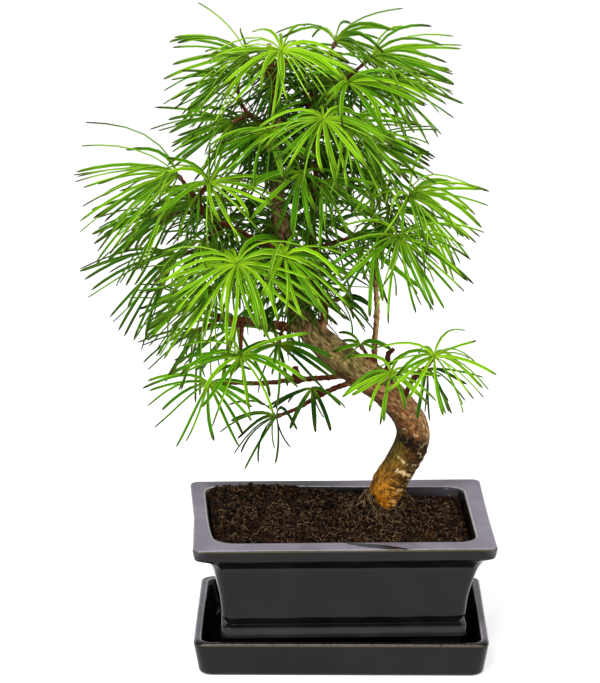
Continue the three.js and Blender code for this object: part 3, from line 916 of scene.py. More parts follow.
@dataclass(frozen=True)
class Planter:
    """The pot and its saucer, thrown from slabs with a flared lip, in black glaze."""

    turn: float = 2.0
    pot: Outline = Outline(155, 112)
    pot_corner: float = 4.0
    inner_corner: float = 10.0
    rim: float = 71.0
    underside: float = 14.0
    floor: float = 19.5
    saucer: Outline = Outline(152, 104)
    saucer_corner: float = 6.0
    saucer_height: float = 18.5
    saucer_floor: float = 5.7
    saucer_rim: float = 3.3
    gap: float = 0.3
    foot: tuple[float, float, float, float] = (26.0, 20.0, 17.0, 22.0)
    drain: tuple[float, float] = (6.0, 32.0)
    wave: float = 0.22
    wavering: tuple[tuple[float, float], ...] = ((28.8, 3.0), (62.2, 3.0))
    slip: tuple[float, float, float, float] = (7.0, -4.6, 4.4, 2.2)

    def outside(self) -> list[Step]:
        """Returns the pot's outer wall, from its underside to its lip."""
        return [
            Step(self.underside, 19, 0.8),
            Step(18.2, 18.4, 0.8),
            Step(18.2, 13.9, 0.9),
            Step(23.9, 14.4, 0.7),
            Step(24.8, 17.2, 0.5),
            Step(29.1, 14.8, 0.7),
            Step(38.7, 13.8, 4.0),
            Step(46.5, 11.8, 4.0),
            Step(55.6, 9.1, 4.0),
            Step(60.6, 6.4, 0.7),
            Step(61.8, 5.2, 0.5),
            Step(64.6, 1.0, 0.7),
            Step(69.9, 0, 0.8),
            Step(self.rim, 0.8, 0.5),
        ]

    def inside(self) -> list[Step]:
        """Returns the pot's inner wall, from its rim to its floor."""
        walls = [(9.2, 71.0), (10.2, 69.8), (12, 61), (15, 50), (18.5, 35), (19.5, 25), (22, 21), (26, 19.5)]
        return [Step(z, inset, 0.8, self.inner_corner) for inset, z in walls]

    def saucer_wall(self) -> list[Step]:
        """Returns the saucer's wall, from the middle of its base over its rim to its floor."""
        height, floor = self.saucer_height, self.saucer_floor
        return [
            Step(0, 4.2, 0.5),
            Step(1.2, 2.8, 1.0),
            Step(height - 2.2, 0.2, 0.8),
            Step(height - 0.9, 0, 0.8),
            Step(height, 0.8, 0.5),
            Step(height, self.saucer_rim, 0.8),
            Step(height - 1.6, self.saucer_rim + 1.4, 0.8, 8),
            Step(floor + 2.5, 6.6, 1.5, 8),
            Step(floor, 8.4, 1.0, 7),
        ]

    def make_pot(self) -> Piece:
        """Returns the glazed pot, with its feet and drain holes."""
        bm = wall(self.pot, rounded([*self.outside(), *self.inside()], self.pot_corner))
        piece = finished("glazed_pot", bm, [BlackGlaze()])
        length, depth, inset, top = self.foot
        low = self.saucer_floor + self.gap
        feet = []
        for end in (-1, 1):
            for side in (-1, 1):
                bm = bmesh.new()
                bmesh.ops.create_cube(bm, size=1)
                bmesh.ops.scale(bm, vec=Vector((length, depth, top - low)) * MM, verts=bm.verts)
                bmesh.ops.bevel(
                    bm,
                    geom=bm.edges[:],
                    offset=1.2 * MM,
                    segments=3,
                    profile=0.5,
                    affect="EDGES",
                    material=-1,
                )
                middle = Vector(
                    (
                        end * (self.pot.width / 2 - inset - length / 2),
                        side * (self.pot.depth / 2 - inset - depth / 2),
                        (top + low) / 2,
                    )
                )
                bmesh.ops.translate(bm, vec=middle * MM, verts=bm.verts)
                feet.append(finished(f"foot_{end}_{side}", bm, []))
        cut(piece, feet, Join.ADD)
        radius, offset = self.drain
        drills = []
        for side in (-1, 1):
            bm = bmesh.new()
            bmesh.ops.create_cone(
                bm, cap_ends=True, segments=32, radius1=radius * MM, radius2=radius * MM, depth=12 * MM
            )
            bmesh.ops.translate(bm, vec=Vector((side * offset, 0, self.floor)) * MM, verts=bm.verts)
            drills.append(finished(f"drill_{side}", bm, []))
        cut(piece, drills, Join.TAKE)
        points = coordinates(piece.data)
        lip = self.lip(points, self.pot, self.rim, 9.2, self.inner_corner)
        self.dress(piece.data, self.warp(points), self.pot, self.rim, lip)
        turned = Matrix.Rotation(math.radians(self.turn), 4, "Z")
        piece.data.transform(turned)
        return piece

    def warp(self, points: Array) -> Array:
        """Returns the pot's places as the hand-built walls have them, a little out of true."""
        x, y, z = points.T
        inner = np.minimum(self.pot.width / 2 - np.abs(x), self.pot.depth / 2 - np.abs(y))
        opened = np.clip((inner - 4) / 4, 0, 1) * np.clip((z - 30) / 25, 0, 1)
        back = np.clip(y / 56, 0, 1) * np.clip((z - 40) / 25, 0, 1) * (1 - opened)
        left, right = np.clip(-x / 60, 0, 1), np.clip(x / 60, 0, 1)
        slip = self.askew(x, y) * opened[:, None]
        moved = points.copy()
        moved[:, 0] += slip[:, 0] - 2.7 * back * left + 0.6 * back * right
        moved[:, 1] += slip[:, 1] + 2.2 * back
        moved[:, 2] += 0.5 * back * np.clip((z - 60) / 6, 0, 1)
        return moved

    def askew(self, x: Array, y: Array) -> Array:
        """Returns how far the hand-cut opening slips at each place, across and back.

        Its left side bends in at the front corner, and its back left corner slips out and back.
        """
        left = np.clip(0.5 - x / self.pot.width, 0, 1)
        left = left * left * (3 - 2 * left)
        front = np.clip(0.5 - y / self.pot.depth, 0, 1)
        back = 1 - front
        across = left * (self.slip[0] * front**8 + self.slip[1] * back)
        return np.stack([across, self.slip[2] * left * back + self.slip[3] * front], -1)

    def lip(self, points: Array, plan: Outline, rim: float, width: float, corner: float) -> Array:
        """Finds the inner edge of a rim.

        Args:
            points: Places in millimetres.
            plan: The pot's or the saucer's outline.
            rim: How high the rim is.
            width: How wide it is.
            corner: The radius of its inner corners.

        Returns:
            1 on the edge and 0 elsewhere for each place.
        """
        half = np.array([plan.width, plan.depth]) / 2 - width - corner
        out = np.abs(points[:, :2]) - half
        off = np.linalg.norm(np.maximum(out, 0), axis=1) + np.minimum(out.max(1), 0) - corner
        level = np.clip((points[:, 2] - rim + 0.7) / 0.3, 0, 1)
        return level * np.clip(1.5 - np.abs(off) / 0.3, 0, 1)

    def dress(
        self,
        mesh: bpy.types.Mesh,
        points: Array,
        plan: Outline,
        rim: float,
        lip: Array,
    ) -> None:
        """Makes the clay a little uneven, and marks where the glaze runs thin and where painted reflection,
        highlight and shade go.

        Args:
            mesh: The pot's or the saucer's mesh.
            points: Its vertices in millimetres, before it is turned.
            plan: Its outline.
            rim: The height of its rim.
            lip: How near each vertex is to the rim's inner edge, from 0 to 1.
        """
        inward = np.maximum(np.abs(points[:, 0]) / plan.width, np.abs(points[:, 1]) / plan.depth) * 2
        wavy = roughness_at(points, 34, plan.width) * 0.5 + 0.5
        rise = np.clip((points[:, 2] - 1.5) / 4, 0, 1)
        points = points * (1 - (wavy * rise * self.wave / (plan.depth / 2))[:, None] * np.array([1, 1, 0]))
        run = np.stack([points[:, 0] + points[:, 1], np.zeros(len(points)), np.zeros(len(points))], 1)
        waver = roughness_at(run, 17, 4) * 0.55 + roughness_at(run, 6, 8) * 0.2
        for level, reach in self.wavering:
            points[:, 2] += waver * np.clip(1 - np.abs(points[:, 2] - level) / reach, 0, 1)
        points[:, 2] -= wavy * self.wave * np.clip((points[:, 2] - rim + 3) / 3, 0, 1)
        place_vertices(mesh, points)
        outer = np.clip((inward - 0.982) / 0.006, 0, 1)
        # The rim's top gets the lilac coat: partly thin glaze, partly painted reflection. The saucer keeps
        # less of it, and none at its front.
        top = np.clip((points[:, 2] - (rim - 0.8)) / 0.4, 0, 1)
        if plan is self.saucer:
            top = 0.7 * top * np.clip((points[:, 1] + plan.depth / 2 - 5) / 4, 0, 1)
        line = np.clip(1 - np.abs(points[:, 2] - (rim - 1.0)) / 0.55, 0, 1) * outer
        crest_highlight = np.clip(1 - np.abs(points[:, 2] - (rim - 0.35)) / 0.35, 0, 1) * outer
        # The upright corners get half the lilac coat: a painted highlight.
        corner = np.clip(
            (np.abs(points[:, 0]) / plan.width + np.abs(points[:, 1]) / plan.depth - 0.965) / 0.03, 0, 1
        )
        edge = top + corner * 0.5 * np.clip((points[:, 2] - 24) / 4, 0, 1)
        if plan is self.pot:
            # The foot band is lifted a little with the lilac coat: a painted highlight.
            edge = edge + 0.06 * np.clip((24.2 - points[:, 2]) / 0.4, 0, 1) * np.clip(points[:, 2] - 17, 0, 1)
            # The inner wall's top at the back right gets the lilac coat: painted light.
            inner_wall = np.clip((1 - inward) / 0.02 - 8, 0, 1) * np.clip((points[:, 2] - 60) / 9, 0, 1)
            edge = edge + 0.3 * inner_wall * np.clip((points[:, 0] - 20) / 20, 0, 1)
            inset = np.minimum(plan.width / 2 - np.abs(points[:, 0]), plan.depth / 2 - np.abs(points[:, 1]))
            wall_left = np.clip(inset - 2.5, 0, 1) * np.clip((points[:, 2] - 63) / 2, 0, 1)
            wall_left *= np.clip((70.4 - points[:, 2]) / 0.4, 0, 1) * np.clip((-points[:, 0] - 52) / 8, 0, 1)
            line = line + 0.85 * wall_left
            # The rim's lilac coat is dimmed towards the back left: painted shade.
            back_shade = np.clip((points[:, 1] - 46) / 4, 0, 1) * np.clip((6 - points[:, 0]) / 20, 0, 1)
            edge = edge * (1 - 0.6 * back_shade * np.clip((points[:, 0] + 70) / 6, 0, 1))
        edge, line = np.clip(edge, 0, 1), np.clip(line, 0, 1)
        # The rim's inner edge and outer top edge carry a painted highlight.
        keep_values(mesh, {"edge": edge, "line": line, "crest_highlight": np.clip(lip + crest_highlight * 0.35, 0, 1)})

    def make_saucer(self) -> Piece:
        """Returns the glazed saucer."""
        bm = wall(self.saucer, rounded(self.saucer_wall(), self.saucer_corner))
        piece = finished("glazed_saucer", bm, [BlackGlaze()])
        points = coordinates(piece.data)
        lip = self.lip(points, self.saucer, self.saucer_height, self.saucer_rim, 6.0)
        self.dress(piece.data, points, self.saucer, self.saucer_height, lip)
        return piece

    def build(self) -> None:
        """Makes both and the netting's finish, and settles them."""
        settle(self.make_pot(), "glaze", "pot")
        settle(self.make_saucer(), "glaze", "saucer")
        netting = Netting().make()
        for side in ("left", "right"):
            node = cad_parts[f"drain_mesh_{side}"]
            node.data.materials.clear()
            node.data.materials.append(netting)


@dataclass(frozen=True)
class Peat:
    """The peat that fills the pot: an uneven crumbly top with fibres, wood bits and fine roots."""

    planter: Planter
    level: float = 67.6
    bottom: float = 21.2
    gap: float = 0.45
    cell: float = 0.72
    crumbs: int = 3000
    fibres: int = 2300
    threads: int = 90
    seed: int = 7
    foot: tuple[float, float] = (23.0, 21.0)

    def height(self, x: Array, y: Array) -> Array:
        """Returns the height of the top before it crumbles.

        It is heaped round the trunk and up to the rim at the back left, and low at the back right.
        """
        mound = 2.4 * np.exp(-((x - 24) ** 2 + (y - 22) ** 2) / 340)
        mound += 12.0 * np.exp(-((x - 13.5) ** 2) / 46 - (y - 10) ** 2 / 50)
        mound += 9.5 * np.exp(-((x - 34.5) ** 2) / 34 - (y - 13) ** 2 / 50)
        left = np.clip((32 - x) / 60, 0, 1)
        back = np.clip((y + 45) / 70, 0, 1)
        filled = 4.3 * left * left * (3 - 2 * left) * (0.25 + 0.75 * back * back)
        far = 1.2 * np.clip(y / 35, 0, 1) * np.clip((x - 15) / 25, 0, 1)
        far += 1.3 * np.clip((y - 24) / 16, 0, 1) * np.clip((2 - x) / 25, 0, 1)
        rolling = 0.5 * np.sin(x / 9) * np.cos(y / 7)
        return self.level - 0.016 * x - 0.012 * y + mound + filled + far + rolling

    def crumble(self, x: Array, y: Array) -> tuple[Array, Array]:
        """Works out the crumbled top.

        Args:
            x: Places across.
            y: Places away from the front.

        Returns:
            The height at each place and how far it is raised, from 0 to 1.
        """
        flat = np.stack([x, y, np.zeros_like(x)], 1)
        clods = roughness_at(flat, 8, 1)
        lumps = roughness_at(flat, 3.2, 2)
        grains = roughness_at(flat, 1.4, 3)
        relief = 0.6 * clods + 1.3 * lumps + 1.0 * grains
        height = self.height(x, y) - 1.0 + relief
        return np.minimum(height, self.brim(x, y)), np.clip(0.5 + relief * 0.5, 0, 1)

    def brim(self, x: Array, y: Array) -> Array:
        """Returns the height that the peat may reach: it stays under the rim but at the back left."""
        heaped = np.clip((y - 28) / 14, 0, 1) * np.clip((5 - x) / 30, 0, 1)
        near = np.clip((np.hypot(x - self.foot[0], y - self.foot[1]) - 26) / 6, 0, 1)
        return self.planter.rim - 0.5 + 4.0 * heaped + 12 * (1 - near)

    def inset_at(self, z: float) -> float:
        """Returns the inset of the pot's inner wall at one height."""
        walls = [(step.height, step.inset) for step in self.planter.inside()][::-1]
        return float(np.interp(z, [w[0] for w in walls], [w[1] for w in walls]))

    def half(self, z: float) -> Array:
        """Returns half the peat's width and depth at one height."""
        inset = self.inset_at(z) + self.gap
        return np.array([self.planter.pot.width / 2 - inset, self.planter.pot.depth / 2 - inset])

    def bed(self) -> tuple[BMesh, Array]:
        """Returns the body of the peat with its crumbled top, and how far each vertex is raised."""
        half = self.half(self.level - 3)
        cells = [round(2 * side / self.cell) for side in half]
        bm = bmesh.new()
        bmesh.ops.create_grid(bm, x_segments=cells[0], y_segments=cells[1], size=1)
        grid = np.array([vertex.co[:2] for vertex in bm.verts])
        places = self.fit(grid, half, self.planter.inner_corner)
        places += self.planter.askew(places[:, 0], places[:, 1])
        height, raised = self.crumble(places[:, 0], places[:, 1])
        drop = np.clip((np.max(np.abs(grid), axis=1) - 0.975) / 0.025, 0, 1)
        height = height - drop * 0.8
        for vertex, (x, y), z in zip(bm.verts, places, height):
            vertex.co = Vector((x, y, z)) * MM
        self.close(bm, half)
        return bm, np.concatenate([raised, np.zeros(len(bm.verts) - len(raised))])

    def fit(self, grid: Array, half: Array, corner: float) -> Array:
        """Fits a square grid into the pot's rounded inner outline.

        Args:
            grid: Places from -1 to 1.
            half: Half the outline's width and depth.
            corner: Its corner radius.

        Returns:
            Places in millimetres.
        """
        places = grid * half
        beyond = np.abs(places) - (half - corner)
        cornered = np.all(beyond > 0, axis=1)
        out = np.maximum(beyond[cornered], 1e-9)
        reach = np.max(out, axis=1) / np.linalg.norm(out, axis=1)
        signs = np.sign(places[cornered])
        places[cornered] = signs * (half - corner + out * reach[:, None])
        return places

    def close(self, bm: BMesh, half: Array) -> None:
        """Draws the top's border down along the pot's inner wall and closes it underneath."""
        border = [edge for edge in bm.edges if edge.is_boundary]
        for z in (56.0, 42.0, 30.0, self.bottom):
            size = self.half(z)
            grown = bmesh.ops.extrude_edge_only(bm, edges=border)["geom"]
            border = [part for part in grown if isinstance(part, bmesh.types.BMEdge) and part.is_boundary]
            for vertex in (part for part in grown if isinstance(part, bmesh.types.BMVert)):
                vertex.co.x *= size[0] / half[0]
                vertex.co.y *= size[1] / half[1]
                vertex.co.z = z * MM
            half = size
        bmesh.ops.contextual_create(bm, geom=border)

    def spot(self, draw: Callable[[], float], margin: float) -> tuple[float, float]:
        """Returns a place on the peat, clear of the trunk's foot and more often near it."""
        half = self.half(self.level - 3) - margin
        while True:
            x = (2 * draw() - 1) * half[0]
            y = (2 * draw() - 1) * half[1]
            off = math.hypot(x - self.foot[0], y - self.foot[1])
            if off > 8.5 and draw() < 0.6 + 0.4 * math.exp(-off / 22):
                across, back = self.planter.askew(np.array(x), np.array(y))
                return x + float(across), y + float(back)

    def strewn(self, draw: Callable[[], float]) -> tuple[BMesh, Array]:
        """Returns the crumbs on the top and how light each vertex is."""
        bm = bmesh.new()
        bmesh.ops.create_icosphere(bm, subdivisions=1, radius=1)
        lights = []
        spots = np.array([self.spot(draw, 2.5) for _ in range(self.crumbs)])
        heights = self.crumble(spots[:, 0], spots[:, 1])[0]
        for group, (x, y), z in zip(copied(bm, self.crumbs), spots, heights):
            size = 0.35 + 1.25 * draw() ** 3
            squeeze = [size * (0.6 + 0.8 * draw()) for _ in range(3)]
            axis = Vector((draw() - 0.5, draw() - 0.5, 1)).normalized()
            turn = Matrix.Rotation(math.tau * draw(), 3, axis)
            light = 0.15 + 0.85 * draw()
            for vertex in group:
                shape = 0.75 + 0.5 * noise.noise(vertex.co * 1.7 + Vector((x, y, size)))
                local = turn @ Vector([c * s * shape for c, s in zip(vertex.co, squeeze)])
                vertex.co = (local + Vector((x, y, z + size * 0.25))) * MM
                lights.append(light)
        return bm, np.array(lights)

    def strands(self, draw: Callable[[], float]) -> tuple[BMesh, Array]:
        """Returns fibres on the top and root threads round the trunk's foot, and how pale each is."""
        rings = 6
        half = self.half(self.level - 3) - 1.5
        bm, groups = tubes(4, rings, self.fibres + self.threads)
        pales = []
        for k, group in enumerate(groups):
            if k >= self.fibres:
                angle, off = math.pi * (0.7 + 1.1 * draw()), 9 + 12 * draw()
                x = self.foot[0] + off * math.cos(angle)
                y = self.foot[1] + off * math.sin(angle)
                heading = angle + (draw() - 0.5) * 4.0
                length, girth, pale = 5 + 12 * draw(), 0.12 + 0.16 * draw(), 0.25 + 0.6 * draw()
            else:
                x, y = self.spot(draw, 3)
                heading = math.tau * draw()
                length, girth, pale = 1.2 + 5.0 * draw() ** 2, 0.08 + 0.13 * draw(), draw() ** 1.4
            curl = (draw() - 0.5) * 3.4
            arch = 0.2 + 1.1 * draw()
            points = []
            for ring in range(rings):
                points.append([x, y, arch * math.sin(math.pi * ring / (rings - 1)) + girth * 0.5])
                heading += curl / rings + (draw() - 0.5) * 0.7
                x = min(max(x + math.cos(heading) * length / rings, -half[0]), half[0])
                y = min(max(y + math.sin(heading) * length / rings, -half[1]), half[1])
            places = np.array(points)
            places[:, 2] += self.crumble(places[:, 0], places[:, 1])[0]
            along = np.gradient(places, axis=0)
            for vertex, ring, side in group:
                direction = unit(along[ring])
                first = unit(np.cross(direction, [0, 0, 1.0]))
                second = np.cross(first, direction)
                thick = girth * (1 - 0.5 * ring / (rings - 1))
                angle = math.tau * side / 4
                offset = first * math.cos(angle) + second * math.sin(angle)
                vertex.co = Vector(places[ring] + offset * thick) * MM
                pales.append(pale)
        return bm, np.array(pales)

    def build(self) -> None:
        """Makes the peat, what is strewn on it and its strands, and settles them."""
        draw = seeded(self.seed)
        turned = Matrix.Rotation(math.radians(self.planter.turn), 4, "Z")
        bed, raised = self.bed()
        crumbs, light = self.strewn(draw)
        strands, pale = self.strands(draw)
        for name, bm, finish, values, nodes in (
            ("peat", bed, DampPeat(), {"raised": raised}, ("soil",)),
            ("peat_crumbs", crumbs, DampPeat(), {"raised": light}, ()),
            ("peat_fibres", strands, PeatFibre(), {"pale": pale}, ()),
        ):
            piece = finished(name, bm, [finish])
            keep_values(piece.data, values)
            piece.data.transform(turned)
            settle(piece, "soil", *nodes)


@dataclass(frozen=True)
class Limb:
    """A limb of the tree: its route from the middle of what it grows out of, and its girths."""

    route: Sequence[Place]
    girths: Sequence[float]
    age: float = 0.0
    slim: float = 1.0

    def thickness(self) -> Array:
        """Returns the limb's girth at each point of its route; two girths taper evenly."""
        if len(self.girths) == len(self.route):
            return np.array(self.girths, float)
        return np.linspace(self.girths[0], self.girths[1], len(self.route))

    def line(self, step: float) -> Line:
        """Returns the limb's smooth middle line, with the girths that the bark shows."""
        return Line(np.array(self.route, float), self.thickness() * self.slim, step)


@dataclass(frozen=True)
class Vigour:
    """How a whorl's needles look: finer ones for each main one, droop, breadth and tone."""

    fill: float
    droop: float
    breadth: float
    tone: float


class Habit(Enum):
    """The ways that whorls grow on this tree."""

    FULL = Vigour(1.6, 0.85, 0.94, -0.04)
    CASCADE = Vigour(1.8, 1.25, 1.0, -0.03)
    FLUSH = Vigour(1.9, 1.0, 0.95, 0.16)
    FOUNTAIN = Vigour(1.1, 1.05, 0.96, -0.12)
    SPARSE = Vigour(0.45, 1.0, 1.06, -0.38)
    LEVEL = Vigour(1.6, 0.6, 0.86, 0.04)
    TRAILING = Vigour(0.7, 0.8, 0.92, -0.22)
    SPUR = Vigour(0.0, 1.1, 0.6, -0.26)


@dataclass(frozen=True)
class Shoot:
    """A shoot that ends in a whorl of needles.

    axis is the way that the whorl faces, spread is how far in degrees its needles open from it.
    """

    name: str
    girths: tuple[float, float]
    route: Sequence[Place]
    axis: Place
    spread: float
    length: float
    count: int
    habit: Habit = Habit.FULL
    age: float = 0.0
    slim: float = 0.66

    def limb(self) -> Limb:
        """Returns the shoot as a limb."""
        return Limb(self.route, self.girths, self.age, self.slim)


@dataclass(frozen=True)
class Streak:
    """A mark on the bark of the trunk's front: its ends, as x and z, and half its breadth."""

    start: tuple[float, float]
    end: tuple[float, float]
    half: float


@dataclass(frozen=True)
class Wood:
    """The tree's wood: its limbs grown together, with bark that creases, cracks and knots."""

    trunk: Limb
    roots: Sequence[Limb]
    stems: Sequence[Limb]
    shoots: Sequence[Limb]
    cell: float = 0.66
    step: float = 1.2
    fillet: float = 2.0
    run_over: float = 7.0
    sides: int = 12
    scars: tuple[Streak, ...] = (
        Streak((29.3, 99.6), (34.5, 95.3), 0.5),
        Streak((29.6, 92.2), (37.5, 87.6), 0.95),
        Streak((40.2, 102.2), (41.0, 100.8), 0.9),
        Streak((32.2, 116.0), (34.6, 115.2), 0.0),
        Streak((38.0, 113.0), (42.0, 109.6), -0.05),
        Streak((37.5, 95.0), (39.5, 93.4), 0.6),
        Streak((34.5, 86.0), (37.0, 84.4), 0.5),
        Streak((36.0, 123.0), (39.5, 114.0), -0.15),
    )
    splits: tuple[Streak, ...] = (
        Streak((30.5, 110.8), (36.5, 108.0), 1.7),
        Streak((32.5, 107.4), (38.5, 104.0), 1.1),
        Streak((37.0, 108.8), (43.5, 104.6), 1.9),
        Streak((38.0, 104.0), (41.5, 98.6), 1.2),
        Streak((36.5, 94.4), (40.5, 91.8), 0.7),
        Streak((35.5, 90.0), (38.5, 87.6), 0.6),
        Streak((33.0, 84.2), (37.0, 81.8), 0.5),
    )

    def limbs(self) -> list[Limb]:
        """Returns all limbs, the trunk first."""
        return [self.trunk, *self.roots, *self.stems, *self.shoots]

    def rough_out(self) -> bpy.types.Mesh:
        """Returns one even mesh round all limbs."""
        bm = merged([limb.line(self.step).sweep(self.sides) for limb in self.limbs()])
        piece = finished("rough_wood", bm, [])
        remesh = piece.modifiers.new("even", "REMESH")
        remesh.mode = "VOXEL"
        remesh.voxel_size = self.cell * MM
        bpy.context.view_layer.update()
        mesh = bpy.data.meshes.new_from_object(piece.evaluated_get(bpy.context.evaluated_depsgraph_get()))
        bpy.data.objects.remove(piece)
        return mesh

    def locate(self, points: Array) -> dict[str, Array]:
        """Finds, for each place, the limb that it belongs to and where on that limb it lies.

        Args:
            points: Places in millimetres.

        Returns:
            off: the distance to the blended surface; way: the direction that leads out of it;
            limb: across, across and along on the limb; thick: its girth there; age and trunk, which
            run over softly where limbs join.
        """
        count = len(points)
        offs = np.full((2, count), 1e9)
        kept = np.zeros((2, count, 5))
        place = np.zeros((count, 3))
        thick = np.ones(count)
        for index, limb in enumerate(self.limbs()):
            line = limb.line(self.step)
            room = line.thick.max() + 6
            low, high = line.places.min(0) - room, line.places.max(0) + room
            rows = np.nonzero(np.all((points > low) & (points < high), axis=1))[0]
            for part in np.array_split(rows, max(1, len(rows) // 6000)):
                near = points[part]
                squares = ((near[:, None, :] - line.places[None, :, :]) ** 2).sum(2)
                k = squares.argmin(1)
                reach = np.where((k > 0) & (k < len(line.places) - 1), self.step, 0.0)
                slide = np.clip(((near - line.places[k]) * line.along[k]).sum(1), -reach, reach)
                out = near - line.places[k] - line.along[k] * slide[:, None]
                far = np.linalg.norm(out, axis=1)
                girth = np.interp(line.steps[k] + slide, line.steps, line.thick)
                off = far - girth
                aged = limb.age * (np.clip(0.5 + (girth - 2.2) / 3.6, 0.5, 1) if index == 0 else 1)
                values = np.column_stack(
                    [
                        out / np.maximum(far, 1e-6)[:, None],
                        aged * np.ones(len(part)),
                        np.full(len(part), index == 0),
                    ]
                )
                wins = off < offs[0, part]
                runner = ~wins & (off < offs[1, part])
                offs[1, part] = np.where(wins, offs[0, part], np.where(runner, off, offs[1, part]))
                kept[1, part] = np.where(
                    wins[:, None], kept[0, part], np.where(runner[:, None], values, kept[1, part])
                )
                offs[0, part] = np.where(wins, off, offs[0, part])
                kept[0, part] = np.where(wins[:, None], values, kept[0, part])
                mine = part[wins]
                cross = out[wins]
                place[mine, 0] = (cross * line.first[k[wins]]).sum(1)
                place[mine, 1] = (cross * line.second[k[wins]]).sum(1)
                place[mine, 2] = line.steps[k[wins]] + slide[wins] + 137.0 * index
                thick[mine] = girth[wins]
        apart = offs[1] - offs[0]
        share = np.clip(self.fillet - apart, 0, None) / self.fillet
        mixed = kept[0] * (1 - share / 2)[:, None] + kept[1] * (share / 2)[:, None]
        spread = np.clip(1 - apart / self.run_over, 0, 1)[:, None] / 2
        run_over = kept[0] * (1 - spread) + kept[1] * spread
        return {
            "off": offs[0] - share**2 * self.fillet / 4,
            "way": mixed[:, :3],
            "limb": place,
            "thick": thick,
            "age": run_over[:, 3],
            "trunk": run_over[:, 4],
        }

    def relief(self, points: Array, at: dict[str, Array]) -> tuple[Array, Array]:
        """Works out how the bark rises and sinks.

        Args:
            points: The vertices in millimetres.
            at: What locate() says of them.

        Returns:
            The rise in millimetres and the same as a share, where 0.5 is level.
        """
        limb, thick, trunk = at["limb"], at["thick"], at["trunk"]
        height = points[:, 2]
        low = np.clip((112 - height) / 20, 0, 1) * trunk
        level = height + 0.5 * (points[:, 0] - 35)
        band = np.exp(-(((level - 106) / 5) ** 2)) * trunk
        above = np.clip((height - 104) / 10, 0, 1) * trunk
        stout = np.clip(thick / 6, 0.25, 1)
        wrinkles = np.abs(roughness_at(limb / np.array([8, 8, 1.7]), 1, 1))
        flakes = np.clip(roughness_at(limb / np.array([5, 5, 3]), 1, 2) - 0.05, 0, 0.5)
        lumps = roughness_at(limb / np.array([9, 9, 13]), 1, 3)
        grain = roughness_at(limb / np.array([1.5, 1.5, 9]), 1, 4)
        cracks = np.abs(roughness_at(limb / np.array([3.2, 3.2, 2.2]), 1, 5))
        knots = roughness_at(limb / np.array([2.2, 2.2, 2.4]), 1, 6)
        scars = np.abs(np.sin(limb[:, 2] / 1.15 + knots * 2)) ** 5
        rise = low * (0.9 * flakes - 1.9 * np.clip(0.16 - wrinkles, 0, 1))
        rise += band * (0.5 * flakes - 5.5 * np.clip(0.13 - cracks, 0, 1))
        rise += above * (0.4 * grain + 0.2 * knots) * stout
        rise += (1 - trunk) * (0.38 * knots + 0.25 * scars) * np.clip(thick / 1.5, 0.5, 1.2)
        share = np.clip(0.5 + rise / 1.1, 0, 1)
        return rise + lumps * (0.55 * above * stout + 0.45 * trunk), share

    def make(self) -> Piece:
        """Returns the wood."""
        mesh = self.rough_out()
        points = coordinates(mesh)
        for _ in range(2):
            at = self.locate(points)
            points = points - at["way"] * np.clip(at["off"], -2, 2)[:, None]
        at = self.locate(points)
        rise, share = self.relief(points, at)
        points = points + at["way"] * rise[:, None]
        low, high = (np.array(corner) / MM for corner in CAD_BOX)
        place_vertices(mesh, np.clip(points, low, high))
        patch = roughness_at(points, 3.5, 9)
        moss = np.clip((76 - points[:, 2]) / 4, 0, 1) * np.clip((20 - points[:, 0]) / 5, 0, 1)
        lean = np.clip((128 - points[:, 2]) / 14, 0, 1) * 0.5 * (points[:, 0] - 35)
        level = points[:, 2] + lean + 5 * roughness_at(points, 7, 12)
        jagged = 0.9 * roughness_at(points, 1.6, 21) + 0.8 * roughness_at(points, 3.5, 22)
        keep_values(
            mesh,
            {
                "limb": at["limb"],
                "age": at["age"],
                "relief": share,
                "rise": np.clip((level - 66) / 110, 0, 1),
                "scar": self.streaks(points, self.scars, jagged),
                "split": self.streaks(points, self.splits, jagged),
                "moss": np.clip(moss * np.clip(patch * 3 + 0.6, 0, 1), 0, 1),
            },
        )
        mesh.name = "bark"
        mesh.polygons.foreach_set("use_smooth", [True] * len(mesh.polygons))
        mesh.materials.append(LarchBark().make())
        piece = bpy.data.objects.new("bark", mesh)
        bpy.context.scene.collection.objects.link(piece)
        return piece

    def streaks(self, points: Array, marks: Sequence[Streak], jagged: Array) -> Array:
        """Finds what lies on the bark's marks.

        Args:
            points: Places in millimetres.
            marks: The marks.
            jagged: How far each place's border is torn, in millimetres.

        Returns:
            1 on a mark and 0 off it for each place.
        """
        found = np.zeros(len(points))
        flat = points[:, (0, 2)]
        front = points[:, 1] < 19
        for mark in marks:
            a, b = np.array(mark.start), np.array(mark.end)
            run = b - a
            t = np.clip(((flat - a) @ run) / max(run @ run, 1e-6), 0, 1)
            off = np.linalg.norm(flat - a - t[:, None] * run, axis=1) + jagged
            found = np.maximum(found, np.clip((mark.half - off) / 0.5 + 0.5, 0, 1))
        return found * front

    def build(self) -> None:
        """Makes the wood and settles it."""
        settle(self.make(), "bark", "tree_wood")


def gaps(a: Array, b: Array, starts: Array, ends: Array) -> Array:
    """Measures the least distances between one straight stretch and many.

    Args:
        a: Where the one stretch starts.
        b: Where it ends.
        starts: Where the others start.
        ends: Where they end.

    Returns:
        A distance for each of the others.
    """
    u = b - a
    v = ends - starts
    w = a - starts
    uu, vv, uv, uw, vw = u @ u, (v * v).sum(1), v @ u, w @ u, (v * w).sum(1)
    across = uu * vv - uv * uv
    safe = np.where(across > 1e-9, across, 1)
    s = np.where(across > 1e-9, np.clip((uv * vw - vv * uw) / safe, 0, 1), 0)
    t = (uv * s + vw) / vv
    past = (t < 0) | (t > 1)
    t = np.clip(t, 0, 1)
    s = np.where(past, np.clip((uv * t - uw) / uu, 0, 1), s)
    return np.linalg.norm(w + s[:, None] * u - t[:, None] * v, axis=1)


